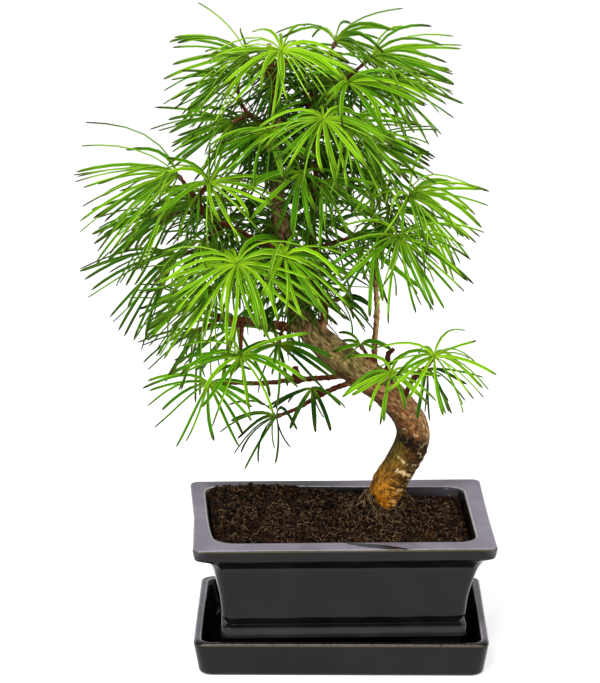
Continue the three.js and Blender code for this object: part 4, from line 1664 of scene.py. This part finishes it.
@dataclass
class Whorl:
    """The needles round the bud at a shoot's end, and the directions that they are laid out in."""

    shoot: Shoot
    needles: list[Array] = field(default_factory=list)
    fillers: list[Array] = field(default_factory=list)
    seat: Array = field(init=False)
    along: Array = field(init=False)
    axis: Array = field(init=False)
    across: Array = field(init=False)
    side: Array = field(init=False)

    def __post_init__(self) -> None:
        """Works out where the whorl sits and faces."""
        before, self.seat = np.array(self.shoot.route[-2:], float)
        self.along = unit(self.seat - before)
        self.axis = unit(np.array(self.shoot.axis, float))
        self.across = unit(np.cross(self.axis, [0, 0, 1.0]))
        self.side = np.cross(self.axis, self.across)


@dataclass(frozen=True)
class Growth:
    """How needles grow: each at its place round the bud, clear of wood and of other whorls."""

    seed: int = 20
    attempts: int = 36
    way: float = 2.7
    crown_top: float = 338.0
    turn_play: float = 0.4
    open_play: float = 16.0
    inner_ring: float = 0.62
    rise: float = 0.55
    sag: float = 0.85
    shortest: float = 0.84
    stunted: float = 0.75
    bend: float = 0.48
    bud_heart: float = 2.9
    bud_length: float = 5.0
    bud_waist: float = 2.5
    edge_room: float = 1.2
    root_room: float = 0.6
    gap: float = 0.3
    filler_seed: int = 5
    filler_tries: int = 14
    filler_way: float = 0.9
    filler_play: float = 2.2

    def route(self, whorl: Whorl, turn: float, open_by: float, length: float) -> Array:
        """Works out one needle's middle line: its root in the bud, its bend and its tip."""
        root = whorl.seat + whorl.along * self.bud_heart
        start = (
            whorl.axis * math.cos(open_by)
            + whorl.across * (math.sin(open_by) * math.cos(turn))
            + whorl.side * (math.sin(open_by) * math.sin(turn))
        )
        if start[2] > 0:
            start[2] *= self.rise
            start = unit(start)
        end = unit(start + np.array([0, 0, -self.sag]))
        bend = root + start * (length * self.bend)
        return np.array([root, bend, bend + end * (length * (1 - self.bend))])

    def clears(self, route: Array, obstacles: Sequence[tuple[Array, Array, Array]]) -> bool:
        """Says whether a needle keeps clear: each obstacle gives starts, ends and least distances."""
        if max(route[1][2], route[2][2]) > self.crown_top:
            return False
        for a, b in ((route[0], route[1]), (route[1], route[2])):
            for starts, ends, rooms in obstacles:
                if len(starts) and np.any(gaps(a, b, starts, ends) < rooms):
                    return False
        return True

    def stretches(self, limbs: Sequence[tuple[str, Limb]]) -> list[tuple[Array, Array, float, str]]:
        """Returns the limbs as straight stretches: start, end, girth, and the limb's name on its last one."""
        found = []
        for name, limb in limbs:
            route, girths = np.array(limb.route, float), limb.thickness()
            for i in range(1, len(route)):
                last = i == len(route) - 1
                found.append(
                    (route[i - 1], route[i], girths[i] if last else girths[i - 1], name if last else "")
                )
        return found

    def grow(self, shoots: Sequence[Shoot], limbs: Sequence[tuple[str, Limb]]) -> list[Whorl]:
        """Grows every whorl.

        Args:
            shoots: The shoots that end in a whorl.
            limbs: All limbs above the soil with their names, which the needles keep clear of.

        Returns:
            The whorls with their needles and the finer ones that fill them.
        """
        random, filler_random = seeded(self.seed), seeded(self.filler_seed)
        stretches = self.stretches(limbs)
        whorls = [Whorl(shoot) for shoot in shoots]
        for whorl in whorls:
            obstacles = self.obstacles(whorl, whorls, stretches, self.way)
            for i in range(whorl.shoot.count):
                for attempt in range(self.attempts):
                    route = self.draw(whorl, i, whorl.shoot.count, attempt, self.attempts, random)
                    if self.clears(route, obstacles):
                        whorl.needles.append(route)
                        break
        low, high = (np.array(corner) / MM for corner in CAD_BOX)
        for whorl in whorls:
            obstacles = self.obstacles(whorl, whorls, stretches, self.filler_way)
            wanted = round(whorl.shoot.count * whorl.shoot.habit.value.fill)
            for i in range(wanted):
                for attempt in range(self.filler_tries):
                    play = self.filler_play
                    route = self.draw(whorl, i, wanted, attempt, self.filler_tries, filler_random, play)
                    inside = np.all((route > low + 1) & (route < high - 1))
                    if inside and self.clears(route, obstacles):
                        whorl.fillers.append(route)
                        break
        return whorls

    def draw(
        self,
        whorl: Whorl,
        i: int,
        count: int,
        attempt: int,
        attempts: int,
        random: Callable[[], float],
        play: float = 1.0,
    ) -> Array:
        """Draws one needle's route at its place round the bud; more play makes it less even."""
        turn = math.tau * (i + (random() - 0.5) * self.turn_play * play) / count
        spread = whorl.shoot.spread * (self.inner_ring if i % 2 else 1)
        open_by = math.radians(spread + (random() - 0.5) * self.open_play * play)
        grown = self.shortest + (1 - self.shortest) * random()
        length = whorl.shoot.length * grown * (1 if attempt < attempts / 2 else self.stunted)
        return self.route(whorl, turn, open_by, length)

    def obstacles(
        self,
        whorl: Whorl,
        whorls: Sequence[Whorl],
        stretches: Sequence[tuple[Array, Array, float, str]],
        way: float,
    ) -> list[tuple[Array, Array, Array]]:
        """Gathers what a whorl's needles keep clear of: limbs, other buds and their needles."""
        name, length = whorl.shoot.name, whorl.shoot.length
        starts = np.array([s[0] for s in stretches])
        ends = np.array([s[1] for s in stretches])
        rooms = np.array(
            [s[2] + (self.root_room if s[3] == name else self.edge_room) + self.gap for s in stretches]
        )
        heart = whorl.seat + whorl.along * self.bud_heart
        reach = gaps(heart, heart + 1e-3, starts, ends) < length + 4 + rooms
        found = [(starts[reach], ends[reach], rooms[reach])]
        others = [
            other
            for other in whorls
            if other is not whorl
            and np.linalg.norm(other.seat - whorl.seat) < length + other.shoot.length + self.way
        ]
        if others:
            seats = np.array([other.seat for other in others])
            tips = np.array([other.seat + other.along * self.bud_length for other in others])
            found.append((seats, tips, np.full(len(seats), self.bud_waist + self.edge_room + self.gap)))
        grown = [route for other in others for route in (*other.needles, *other.fillers)]
        if grown:
            routes = np.array(grown)
            from_all = np.concatenate([routes[:, 0], routes[:, 1]])
            to_all = np.concatenate([routes[:, 1], routes[:, 2]])
            found.append((from_all, to_all, np.full(len(from_all), way)))
        return found


@dataclass(frozen=True)
class Foliage:
    """The needles as soft flat blades, and the buds that they grow from."""

    seed: int = 11
    width: tuple[float, float] = (1.5, 2.4)
    thick: float = 0.74
    wild: float = 0.1
    bud_girth: float = 1.3
    bud_length: float = 3.6
    crown_middle: tuple[float, float] = (-28.0, 0.0)
    rings: tuple[float, ...] = (0.0, 0.07, 0.17, 0.31, 0.48, 0.66, 0.83, 0.95, 1.0)
    widths: tuple[float, ...] = (0.4, 0.68, 0.88, 0.98, 1.0, 1.0, 0.96, 0.78, 0.28)
    section: tuple[tuple[float, float], ...] = (
        (0.0, 0.2),
        (-0.55, 0.5),
        (-1.0, 0.0),
        (0.0, -0.5),
        (1.0, 0.0),
        (0.55, 0.5),
    )

    def youth_and_light(self, whorl: Whorl) -> float:
        """Returns a whorl's tone, from 0 deep in the crown to 1 at its outside, where growth is younger, and
        lighter where it faces up and to the front, which is painted light.
        """
        off = math.hypot(whorl.seat[0] - self.crown_middle[0], whorl.seat[1] - self.crown_middle[1])
        outside = min(max((off - 12) / 30, (whorl.seat[2] - 282) / 26, 0), 1)
        # Whorls that face up and to the front are lighter: painted light.
        lit = min(max(0.6 * whorl.axis[2] - 0.45 * whorl.axis[1], 0), 1)
        return 0.3 + 0.28 * outside + 0.4 * lit

    def bend(self, whorl: Whorl, route: Array, draw: Callable[[], float], low: Array, high: Array) -> Array:
        """Bends a needle's middle line in one smooth arc.

        Args:
            whorl: The whorl.
            route: The needle's root, bend and tip.
            draw: Random numbers.
            low: The lowest corner that it keeps inside.
            high: The highest one.

        Returns:
            A place for each of its rings.
        """
        root, bend, tip = route
        length = np.linalg.norm(bend - root) + np.linalg.norm(tip - bend)
        start, end = unit(bend - root), unit(tip - bend)
        habit = whorl.shoot.habit.value
        droop = habit.droop * (0.45 + 0.9 * draw())
        fall = max(1.3 * habit.droop - 0.8, 0) * max(start[2], 0) + max(droop - 0.8, 0)
        fall += 1.6 * max(start[2] - 0.4, 0) * max(1.25 - habit.droop, 0)
        end = unit(end - np.array([0, 0, fall]))
        if draw() < self.wild:
            end = unit(start + (end - start) * 0.6)
        aside = np.cross(start, [0, 0, 1.0]) * (draw() - 0.5) * 1.3
        steps = np.linspace(0, 1, 41)[:, None]
        bent = 1 - np.exp(-(0.9 + 1.1 * droop) * steps)
        ways = start * (1 - bent) + end * bent + aside * steps**2
        ways /= np.linalg.norm(ways, axis=1)[:, None]
        run = np.cumsum((ways[1:] + ways[:-1]) / 2, axis=0) * length / 40
        places = root + np.concatenate([np.zeros((1, 3)), run])
        for axis in range(3):
            for limit, reach in ((high[axis], places[:, axis].max()), (low[axis], places[:, axis].min())):
                if (reach > limit) if limit == high[axis] else (reach < limit):
                    places = root + (places - root) * (limit - root[axis]) / (reach - root[axis])
        return np.stack([np.interp(self.rings, steps[:, 0], places[:, axis]) for axis in range(3)], 1)

    def blade(
        self,
        blade: Tube,
        whorl: Whorl,
        middle: Array,
        draw: Callable[[], float],
        values: dict[str, list[float]],
    ) -> None:
        """Lays a tube along one needle.

        Args:
            blade: The tube.
            whorl: The whorl.
            middle: The needle's middle line.
            draw: Random numbers.
            values: What is kept on each vertex.
        """
        along = np.gradient(middle, np.array(self.rings), axis=0)
        along /= np.linalg.norm(along, axis=1)[:, None]
        wide = np.cross(along[0], whorl.axis)
        wide = unit(wide) if np.linalg.norm(wide) > 0.1 else whorl.across
        roll = math.radians((draw() - 0.5) * 90)
        twist = math.radians((draw() - 0.5) * 90)
        vigour = whorl.shoot.habit.value
        half = (self.width[0] + (self.width[1] - self.width[0]) * draw() ** 1.4) / 2 * vigour.breadth
        # Needles deep in the crown are darker: partly older growth, partly painted shade.
        off = np.hypot(middle[:, 0] - self.crown_middle[0], middle[:, 1] - self.crown_middle[1])
        depth = np.clip(np.maximum((off - 6) / 34, (middle[:, 2] - 284) / 28), 0, 1)
        young_and_lit = self.youth_and_light(whorl) + vigour.tone + (draw() - 0.5) * 0.5
        tones = np.clip(young_and_lit * (0.45 + 0.55 * depth), 0, 1)
        span = 0.12 + (0.45 - 0.3 * min(max(young_and_lit, 0), 1)) * draw()
        dry = 1.0 if draw() < 0.4 else 0.55
        wides, fronts = [], []
        for ring, direction in enumerate(along):
            wide = unit(wide - direction * (wide @ direction))
            front = np.cross(wide, direction)
            angle = roll + twist * self.rings[ring]
            wides.append(wide * math.cos(angle) + front * math.sin(angle))
            fronts.append(front * math.cos(angle) - wide * math.sin(angle))
        for vertex, ring, side in blade:
            x, y = self.section[side]
            breadth = half * self.widths[ring]
            flat = self.thick * (0.5 + 0.5 * self.widths[ring])
            vertex.co = Vector(middle[ring] + wides[ring] * (x * breadth) + fronts[ring] * (y * flat)) * MM
            reach = self.rings[ring]
            values["across"].append(abs(x))
            values["under"].append(1.0 if y < 0 else 0.0)
            values["root"].append(max(0.0, 1 - reach / 0.25))
            values["end"].append(min(max((reach - 1 + span) / span, 0), 1) * dry)
            values["tone"].append(tones[ring])

    def bud(self, whorl: Whorl, values: dict[str, list[float]]) -> BMesh:
        """Returns the bud with its overlapping scales."""
        profile = ((-0.1, 0.7), (0.1, 0.85), (0.3, 1.0), (0.5, 0.95), (0.68, 0.8), (0.85, 0.55), (1.0, 0.16))
        first = unit(np.cross(whorl.along, [0.3, 0.2, 1.0]))
        second = np.cross(whorl.along, first)
        sides = 10
        bm, (bud,) = tubes(sides, len(profile))
        for vertex, ring, side in bud:
            up, girth = profile[ring]
            angle = math.tau * (side + 0.5 * (ring % 2)) / sides
            ripple = 1 + 0.12 * math.cos(math.pi * (side + ring))
            out = (first * math.cos(angle) + second * math.sin(angle)) * girth * ripple * self.bud_girth
            vertex.co = Vector(whorl.seat + whorl.along * up * self.bud_length + out) * MM
            for name, number in (("across", 0), ("under", 0), ("root", 0), ("end", 0), ("tone", 0.5)):
                values[name].append(number)
        return bm

    def build(self, whorls: Sequence[Whorl]) -> None:
        """Makes each whorl and settles it."""
        draw = seeded(self.seed)
        low, high = (np.array(corner) / MM for corner in CAD_BOX)
        total = 0
        for whorl in whorls:
            routes = [*whorl.needles, *whorl.fillers]
            values: dict[str, list[float]] = {name: [] for name in LarchNeedle.kept}
            needles, blades = tubes(len(self.section), len(self.rings), len(routes))
            for blade, route in zip(blades, routes):
                middle = self.bend(whorl, route, draw, low + 1.2, high - 1.2)
                self.blade(blade, whorl, middle, draw, values)
            bm = merged([needles, self.bud(whorl, values)])
            name = whorl.shoot.name
            piece = finished(f"whorl_{name}", bm, [LarchNeedle(), BudScale()])
            keep_values(piece.data, {key: np.array(numbers, float) for key, numbers in values.items()})
            place_vertices(piece.data, np.clip(coordinates(piece.data), low, high))
            settle(piece, "needles", f"tuft_{name}")
            total += len(routes)
        log.info("%d needles in all", total)


@dataclass(frozen=True)
class Spurs(Foliage):
    """Short side shoots on the older wood in the crown, with rosettes of finer, darker needles."""

    seed: int = 3
    rings: tuple[float, ...] = (0.0, 0.18, 0.42, 0.7, 0.9, 1.0)
    widths: tuple[float, ...] = (0.5, 0.9, 1.0, 1.0, 0.8, 0.2)
    section: tuple[tuple[float, float], ...] = ((-1.0, 0.0), (0.0, -0.5), (1.0, 0.0), (0.0, 0.4))
    every: float = 7.0
    needles: int = 8
    length: tuple[float, float] = (17.0, 34.0)
    spread: tuple[float, float] = (30.0, 85.0)
    lowest: float = 186.0
    bare: tuple[float, float] = (5.0, 222.0)

    def rosettes(self, limbs: Sequence[Limb], draw: Callable[[], float]) -> list[Whorl]:
        """Sets rosettes along limbs, each turned its own way round the limb.

        Args:
            limbs: The limbs.
            draw: Random numbers.

        Returns:
            The rosettes, without needles.
        """
        found = []
        for limb in limbs:
            line = limb.line(self.every)
            for k in range(1, len(line.places) - 1):
                angle = math.tau * draw()
                out = line.first[k] * math.cos(angle) + line.second[k] * math.sin(angle)
                x, _, z = line.places[k]
                if z < self.lowest or (x > self.bare[0] and z < self.bare[1]):
                    continue
                base = line.places[k] + out * line.thick[k] * 0.6
                girth = line.thick[k]
                route = [tuple(base - out), tuple(base)]
                found.append(
                    Whorl(Shoot("spur", (girth, girth), route, tuple(out), 60, 26, self.needles, Habit.SPUR))
                )
        return found

    def dress(self, limbs: Sequence[Limb]) -> None:
        """Makes the rosettes' needles in one piece and settles it."""
        draw = seeded(self.seed)
        growth = Growth(bud_heart=0.3)
        low, high = (np.array(corner) / MM for corner in CAD_BOX)
        values: dict[str, list[float]] = {name: [] for name in LarchNeedle.kept}
        rosettes = self.rosettes(limbs, draw)
        bm, blades = tubes(len(self.section), len(self.rings), len(rosettes) * self.needles)
        for k, blade in enumerate(blades):
            whorl = rosettes[k // self.needles]
            turn = math.tau * (k + draw()) / self.needles
            open_by = math.radians(self.spread[0] + (self.spread[1] - self.spread[0]) * draw())
            length = self.length[0] + (self.length[1] - self.length[0]) * draw()
            route = growth.route(whorl, turn, open_by, length)
            middle = self.bend(whorl, route, draw, low + 4, high - 4)
            self.blade(blade, whorl, middle, draw, values)
        piece = finished("spur_needles", bm, [LarchNeedle()])
        keep_values(piece.data, {key: np.array(numbers, float) for key, numbers in values.items()})
        settle(piece, "needles")


@dataclass(frozen=True)
class Studio:
    """A white floor that runs out of sight, soft white light all round, and the camera."""

    eye: Place = (-9.478, -1368.694, 529.756)
    look: Place = (-0.008522, 0.966185, -0.257708)
    focal: float = 2750.0
    picture_height: float = 683.0
    sensor: float = 36.0
    floor_size: float = 9.0
    sky: str = "#ffffff"
    sky_strength: float = 0.5

    def build(self) -> None:
        """Makes the studio."""
        bm = bmesh.new()
        bmesh.ops.create_grid(bm, x_segments=1, y_segments=1, size=self.floor_size)
        floor = finished("floor", bm, [StudioFloor()], smooth=False)
        self.light("key", (-0.75, -1.7, 1.6), 1.1, 46)
        self.light("fill", (1.5, -1.0, 1.1), 1.0, 13)
        world = bpy.data.worlds.new("studio")
        bpy.context.scene.world = world
        world.use_nodes = True
        background = world.node_tree.nodes["Background"]
        background.inputs["Color"].default_value = linear(self.sky)
        background.inputs["Strength"].default_value = self.sky_strength
        bpy.context.scene.view_settings.view_transform = "Standard"
        camera = bpy.data.cameras.new("camera")
        camera.sensor_width = self.sensor
        camera.lens = self.focal * self.sensor / self.picture_height
        camera.clip_end = 50
        holder = bpy.data.objects.new("camera", camera)
        bpy.context.scene.collection.objects.link(holder)
        holder.location = Vector(self.eye) * MM
        holder.rotation_euler = Vector(self.look).to_track_quat("-Z", "Y").to_euler()
        bpy.context.scene.camera = holder

    def light(self, name: str, place: Place, size: float, power: float) -> None:
        """Adds a soft square light that faces the tree."""
        lamp = bpy.data.lights.new(name, "AREA")
        lamp.shape = "SQUARE"
        lamp.size = size
        lamp.energy = power
        holder = bpy.data.objects.new(name, lamp)
        bpy.context.scene.collection.objects.link(holder)
        holder.location = place
        toward = Vector((0, 0, 0.18)) - Vector(place)
        holder.rotation_euler = toward.to_track_quat("-Z", "Y").to_euler()


TRUNK = Limb(
    [
        (14, 20, 36), (17, 21, 48), (20, 22, 60), (23, 21, 70), (26, 20, 83), (32, 19, 94),
        (37, 17, 105), (37, 14, 116), (31, 11, 126), (23, 8, 136), (13, 5, 145), (2, 3, 153),
        (-9, 1, 163), (-17, 0, 172), (-23, 0, 184), (-27, 0, 197), (-30, 0, 213), (-32, 0, 227),
        (-33, 0, 243), (-34, 0, 260), (-33, 0, 276), (-34, 0, 292), (-36, 0, 307), (-37, 0, 319),
    ],
    [
        6, 8, 9.6, 9.7, 9.1, 8.7, 8.9, 8.2, 7.8, 8, 8.3, 8, 7.4, 6.6, 5.6, 5, 4.5, 4.2, 3.7, 3.2,
        2.8, 2.3, 1.8, 1.2,
    ],
    age=1.0,
)

# Surface roots, which leave the trunk's foot and go down into the peat
ROOTS = [
    Limb([(21, 20, 70), (13, 18, 68.5), (3, 14, 64), (-4, 12, 55)], (4.2, 1.6), age=0.75, slim=0.85),
    Limb([(25, 20, 68), (28, 12, 66), (32, 5, 60)], (4.0, 1.8), age=0.75, slim=0.8),
    Limb([(24, 22, 70), (27, 30, 67), (31, 37, 60)], (4.2, 1.8), age=0.75, slim=0.8),
]

# Limbs that carry others, and stubs with no needles of their own
STEMS = [
    Limb(
        [
            (-12, 0, 168), (-9, -2, 178), (-10, -4, 188), (-14, -6, 200), (-16, -8, 216),
            (-15, -8, 235), (-14, -8, 248), (-13, -7, 261), (-15, -5, 276), (-18, -2, 291), (-21, 1, 312),
        ],
        (3.4, 1.3),
        age=0.2,
        slim=0.66,
    ),
    Limb([(-23, -2, 145), (-24, -3, 152)], (2.2, 1.5)),
    Limb([(22, 6, 140), (24, 5, 152), (24, 4, 157), (27, 3, 160)], (2.4, 1.5), slim=0.7),
    Limb([(-14, -6, 272), (-11, -9, 288)], (1.6, 1.2)),
    Limb([(18, -4, 212), (20, -6, 222), (19, -7, 229)], (1.5, 1.2)),
]

# Shoots that end in a whorl, the nearest to the front and the tips of the crown first
SHOOTS = [
    Shoot("right_tip", (2.7, 1.5), [
        (17, 5, 148), (17, 2, 165), (18, 0, 180), (17, -3, 204), (18, -4, 213), (23, -6, 224),
        (27, -9, 232), (32, -12, 241)
    ], (9, -3, 3), 72, 48, 13, Habit.FLUSH, age=0.58, slim=0.56),
    Shoot("left_tip", (2.6, 1.4), [
        (-30, 0, 213), (-41, -2, 217), (-52, -4, 223), (-61, -5, 228), (-68, -7, 231),
        (-73, -9, 240), (-81, -12, 252)
    ], (-10, -2, 1), 62, 61, 13, Habit.LEVEL),
    Shoot("left_middle_end", (3.6, 1.6), [
        (-17, 0, 171), (-32, -4, 174), (-44, -8, 177), (-59, -9, 179), (-68, -6, 181),
        (-76, 5, 181)
    ], (-9, 2, 2), 60, 34, 8, age=0.56),
    Shoot("low_left_front", (2.3, 1.3), [
        (9, 4, 147), (-6, 2, 145), (-22, -2, 145), (-43, -10, 145), (-55, -16, 147),
        (-65, -21, 148)
    ], (-2, -8, 4), 78, 38, 11, Habit.SPARSE),
    Shoot("low_knobbly", (2.2, 1.3), [
        (11, 5, 143), (-4, 2, 139), (-14, -2, 135), (-22, -6, 131), (-31, -9, 128)
    ], (-7, -4, 3), 66, 34, 8, Habit.SPARSE),
    Shoot("heart_front", (1.8, 1.4), [
        (-14, -7, 268), (-12, -22, 278), (-10, -36, 286)
    ], (1, -6, 7), 80, 44, 13, Habit.CASCADE),
    Shoot("belly_front", (2.2, 1.5), [
        (-28, 0, 205), (-37, -14, 209), (-45, -29, 213), (-51, -40, 215)
    ], (0, -6, 8), 84, 48, 15, Habit.CASCADE),
    Shoot("belly_middle", (2, 1.4), [
        (-28, 0, 203), (-29, -18, 211), (-29, -35, 217)
    ], (3, -6, 7), 80, 44, 11, Habit.CASCADE),
    Shoot("top_front", (1.7, 1.2), [
        (-35, 0, 300), (-33, -8, 309), (-31, -15, 316)
    ], (2, -6, 7), 80, 42, 11, Habit.FLUSH),
    Shoot(
        "top_left", (1.6, 1.2), [(-35, 0, 300), (-40, 1, 306), (-45, 3, 309)],
        (-10, -2, 3), 60, 50, 11, Habit.LEVEL,
    ),
    Shoot("right_low_front", (2, 1.4), [
        (32, 9, 128), (35, 0, 141), (39, -8, 150), (44, -14, 156), (46, -20, 161)
    ], (3, -5, 8), 80, 36, 11, Habit.FOUNTAIN),
    Shoot(
        "bend_front", (1.8, 1.3), [(21, 7, 139), (25, -6, 145), (25, -15, 151)],
        (-1, -7, 6), 78, 31, 8, Habit.FOUNTAIN,
    ),
    Shoot("low_left_inner", (1.7, 1.3), [
        (-51, -8, 178), (-51, -22, 174), (-51, -34, 168)
    ], (0, -7, 5), 78, 40, 11, Habit.TRAILING),
    Shoot("left_front", (1.6, 1.3), [
        (-73, -9, 240), (-71, -13, 246), (-68, -18, 250)
    ], (4, -5, 8), 74, 44, 11),
    Shoot("left_low_tip", (1.8, 1.3), [
        (-53, -3, 223), (-66, 5, 214), (-82, 9, 209)
    ], (-10, -1, -2), 60, 58, 11, Habit.TRAILING),
    Shoot("left_middle", (1.6, 1.3), [
        (-71, -8, 235), (-78, -3, 233), (-84, 0, 232)
    ], (-10, -2, 0), 58, 50, 10, Habit.TRAILING),
    Shoot("belly_left", (1.7, 1.3), [
        (-42, -22, 211), (-53, -20, 203), (-62, -17, 198)
    ], (-9, -4, -1), 64, 46, 11),
    Shoot("top_right_tip", (1.7, 1.2), [
        (-17, -3, 286), (-4, -4, 297), (6, -5, 306), (12, -5, 311)
    ], (10, -1, 3), 58, 50, 11, Habit.LEVEL),
    Shoot("right_lower_front", (1.6, 1.3), [(22, -6, 222), (27, -18, 224)], (6, -7, 1), 74, 46, 11),
    Shoot("right_star", (1.6, 1.3), [(17, -3, 206), (16, -16, 214)], (-1, -9, 2), 76, 35, 9, Habit.SPARSE),
    Shoot("top_right", (1.6, 1.2), [(-18, -2, 289), (-11, 4, 302), (-5, 8, 316)], (8, 2, 7), 62, 42, 11),
    Shoot("shoulder_right_front", (1.5, 1.3), [(-10, 0, 293), (1, -20, 302)], (6, -6, 4), 70, 44, 10),
    Shoot("shoulder_right", (1.6, 1.3), [
        (-4, -4, 297), (8, 5, 297), (16, 10, 298)
    ], (10, 1, 1), 60, 46, 10, Habit.LEVEL),
    Shoot("heart_right", (1.6, 1.3), [(-12, -21, 277), (-2, -26, 282)], (9, -5, 2), 64, 46, 10),
    Shoot("heart_right_low", (1.7, 1.3), [
        (-13, -7, 259), (-4, -2, 262), (8, 1, 267)
    ], (10, -2, 0), 62, 44, 10),
    Shoot("left_shoulder", (1.7, 1.2), [
        (-34, 0, 268), (-41, -1, 278), (-48, 0, 284), (-52, 2, 290), (-53, 5, 297)
    ], (-10, -1, 2), 58, 40, 9, Habit.LEVEL),
    Shoot(
        "left_shoulder_low", (1.5, 1.2), [(-47, 0, 283), (-53, -6, 281)], (-10, -3, 0), 62, 44, 9, Habit.LEVEL
    ),
    Shoot("heart_left", (1.6, 1.3), [(-34, 0, 268), (-36, -15, 276)], (-3, -8, 3), 76, 36, 8),
    Shoot("middle_front", (1.5, 1.2), [(-14, -8, 246), (-20, -20, 256)], (-3, -9, 1), 74, 36, 8),
    Shoot("middle_right", (1.5, 1.2), [(-14, -8, 244), (-11, -20, 251)], (8, -6, 1), 62, 38, 8),
    Shoot(
        "left_under", (1.5, 1.2), [(-61, -5, 227), (-68, -12, 222)], (-7, -6, -4), 66, 44, 9, Habit.TRAILING
    ),
    Shoot("right_inner", (1.5, 1.2), [(26, -8, 230), (22, -6, 240), (20, -5, 247)], (-4, -4, 7), 70, 38, 8),
    Shoot("middle_low_right", (1.6, 1.2), [
        (-15, -7, 214), (-6, -6, 218), (2, -5, 220)
    ], (8, -5, 2), 62, 30, 8),
    Shoot(
        "left_middle_under", (1.6, 1.3), [(-61, -9, 180), (-70, -12, 175)],
        (-8, -3, -4), 66, 38, 8, Habit.TRAILING,
    ),
    Shoot(
        "low_middle_front", (1.6, 1.3), [(-30, -4, 174), (-32, -16, 169)], (1, -8, 3), 76, 36, 8, Habit.SPARSE
    ),
    Shoot(
        "low_middle_under", (1.4, 1.2), [(-10, 0, 137), (-14, -7, 141)], (-1, -7, -2), 76, 26, 7, Habit.SPARSE
    ),
    Shoot(
        "right_low_under", (1.5, 1.3), [(37, -4, 146), (42, -5, 150)], (4, -4, -5), 66, 30, 7, Habit.SPARSE
    ),
    Shoot("fork_small", (1.7, 1.3), [(16, 3, 152), (11, -1, 161)], (-5, -3, 7), 60, 20, 6, Habit.SPARSE),
    Shoot("stem_small", (1.5, 1.2), [(-10, -4, 187), (-4, -5, 188)], (9, -2, 1), 50, 24, 6, Habit.SPARSE),
    Shoot("top_back", (1.6, 1.2), [(-34, 0, 292), (-32, 18, 298), (-29, 32, 303)], (1, 7, 7), 76, 42, 11),
    Shoot("shoulder_right_back", (1.6, 1.2), [
        (-18, -2, 289), (-10, 18, 290), (-4, 35, 293)
    ], (4, 8, 4), 74, 42, 10),
    Shoot("shoulder_left_back", (1.7, 1.3), [
        (-34, 0, 263), (-41, 18, 265), (-47, 36, 268)
    ], (-4, 8, 4), 74, 42, 10),
    Shoot("heart_back", (1.6, 1.3), [
        (-13, -7, 257), (-17, 18, 254), (-21, 38, 255)
    ], (0, 9, 3), 76, 42, 10),
    Shoot("heart_right_back", (1.5, 1.2), [
        (-4, -2, 261), (1, 16, 260), (6, 30, 260)
    ], (6, 7, 2), 72, 42, 9),
    Shoot("left_back", (1.7, 1.3), [(-33, 0, 238), (-45, 15, 233), (-59, 33, 232)], (-6, 8, 3), 72, 44, 10),
    Shoot("left_upper_back", (1.6, 1.3), [
        (-53, -3, 223), (-62, 10, 227), (-73, 20, 232)
    ], (-8, 5, 4), 68, 44, 10),
    Shoot("belly_back", (1.7, 1.3), [(-32, 0, 222), (-31, 20, 220), (-28, 38, 220)], (1, 9, 2), 76, 42, 10),
    Shoot("belly_left_back", (1.7, 1.3), [
        (-28, 0, 202), (-38, 18, 200), (-51, 34, 200)
    ], (-5, 8, 2), 74, 42, 10),
    Shoot("right_back", (1.6, 1.2), [(18, -4, 211), (18, 14, 216), (17, 30, 222)], (4, 8, 4), 74, 42, 10),
    Shoot("low_middle_back", (1.7, 1.3), [
        (-25, 0, 188), (-26, 18, 184), (-28, 33, 182)
    ], (1, 9, 1), 74, 40, 9),
    Shoot("low_left_back", (1.6, 1.3), [
        (-44, -8, 177), (-49, 8, 172), (-54, 22, 167)
    ], (-4, 8, 0), 74, 40, 9),
]


def main() -> None:
    """Builds the studio, the planter, the peat and the tree."""
    logging.basicConfig(level=logging.INFO, format="%(message)s")
    Studio().build()
    planter = Planter()
    planter.build()
    Peat(planter).build()
    Wood(TRUNK, ROOTS, STEMS, [shoot.limb() for shoot in SHOOTS]).build()
    named = [("trunk", TRUNK)]
    named += [("stem", limb) for limb in STEMS]
    named += [(shoot.name, shoot.limb()) for shoot in SHOOTS]
    Foliage().build(Growth().grow(SHOOTS, named))
    Spurs().dress([TRUNK, *STEMS, *(shoot.limb() for shoot in SHOOTS)])


if __name__ == "__main__":
    main()
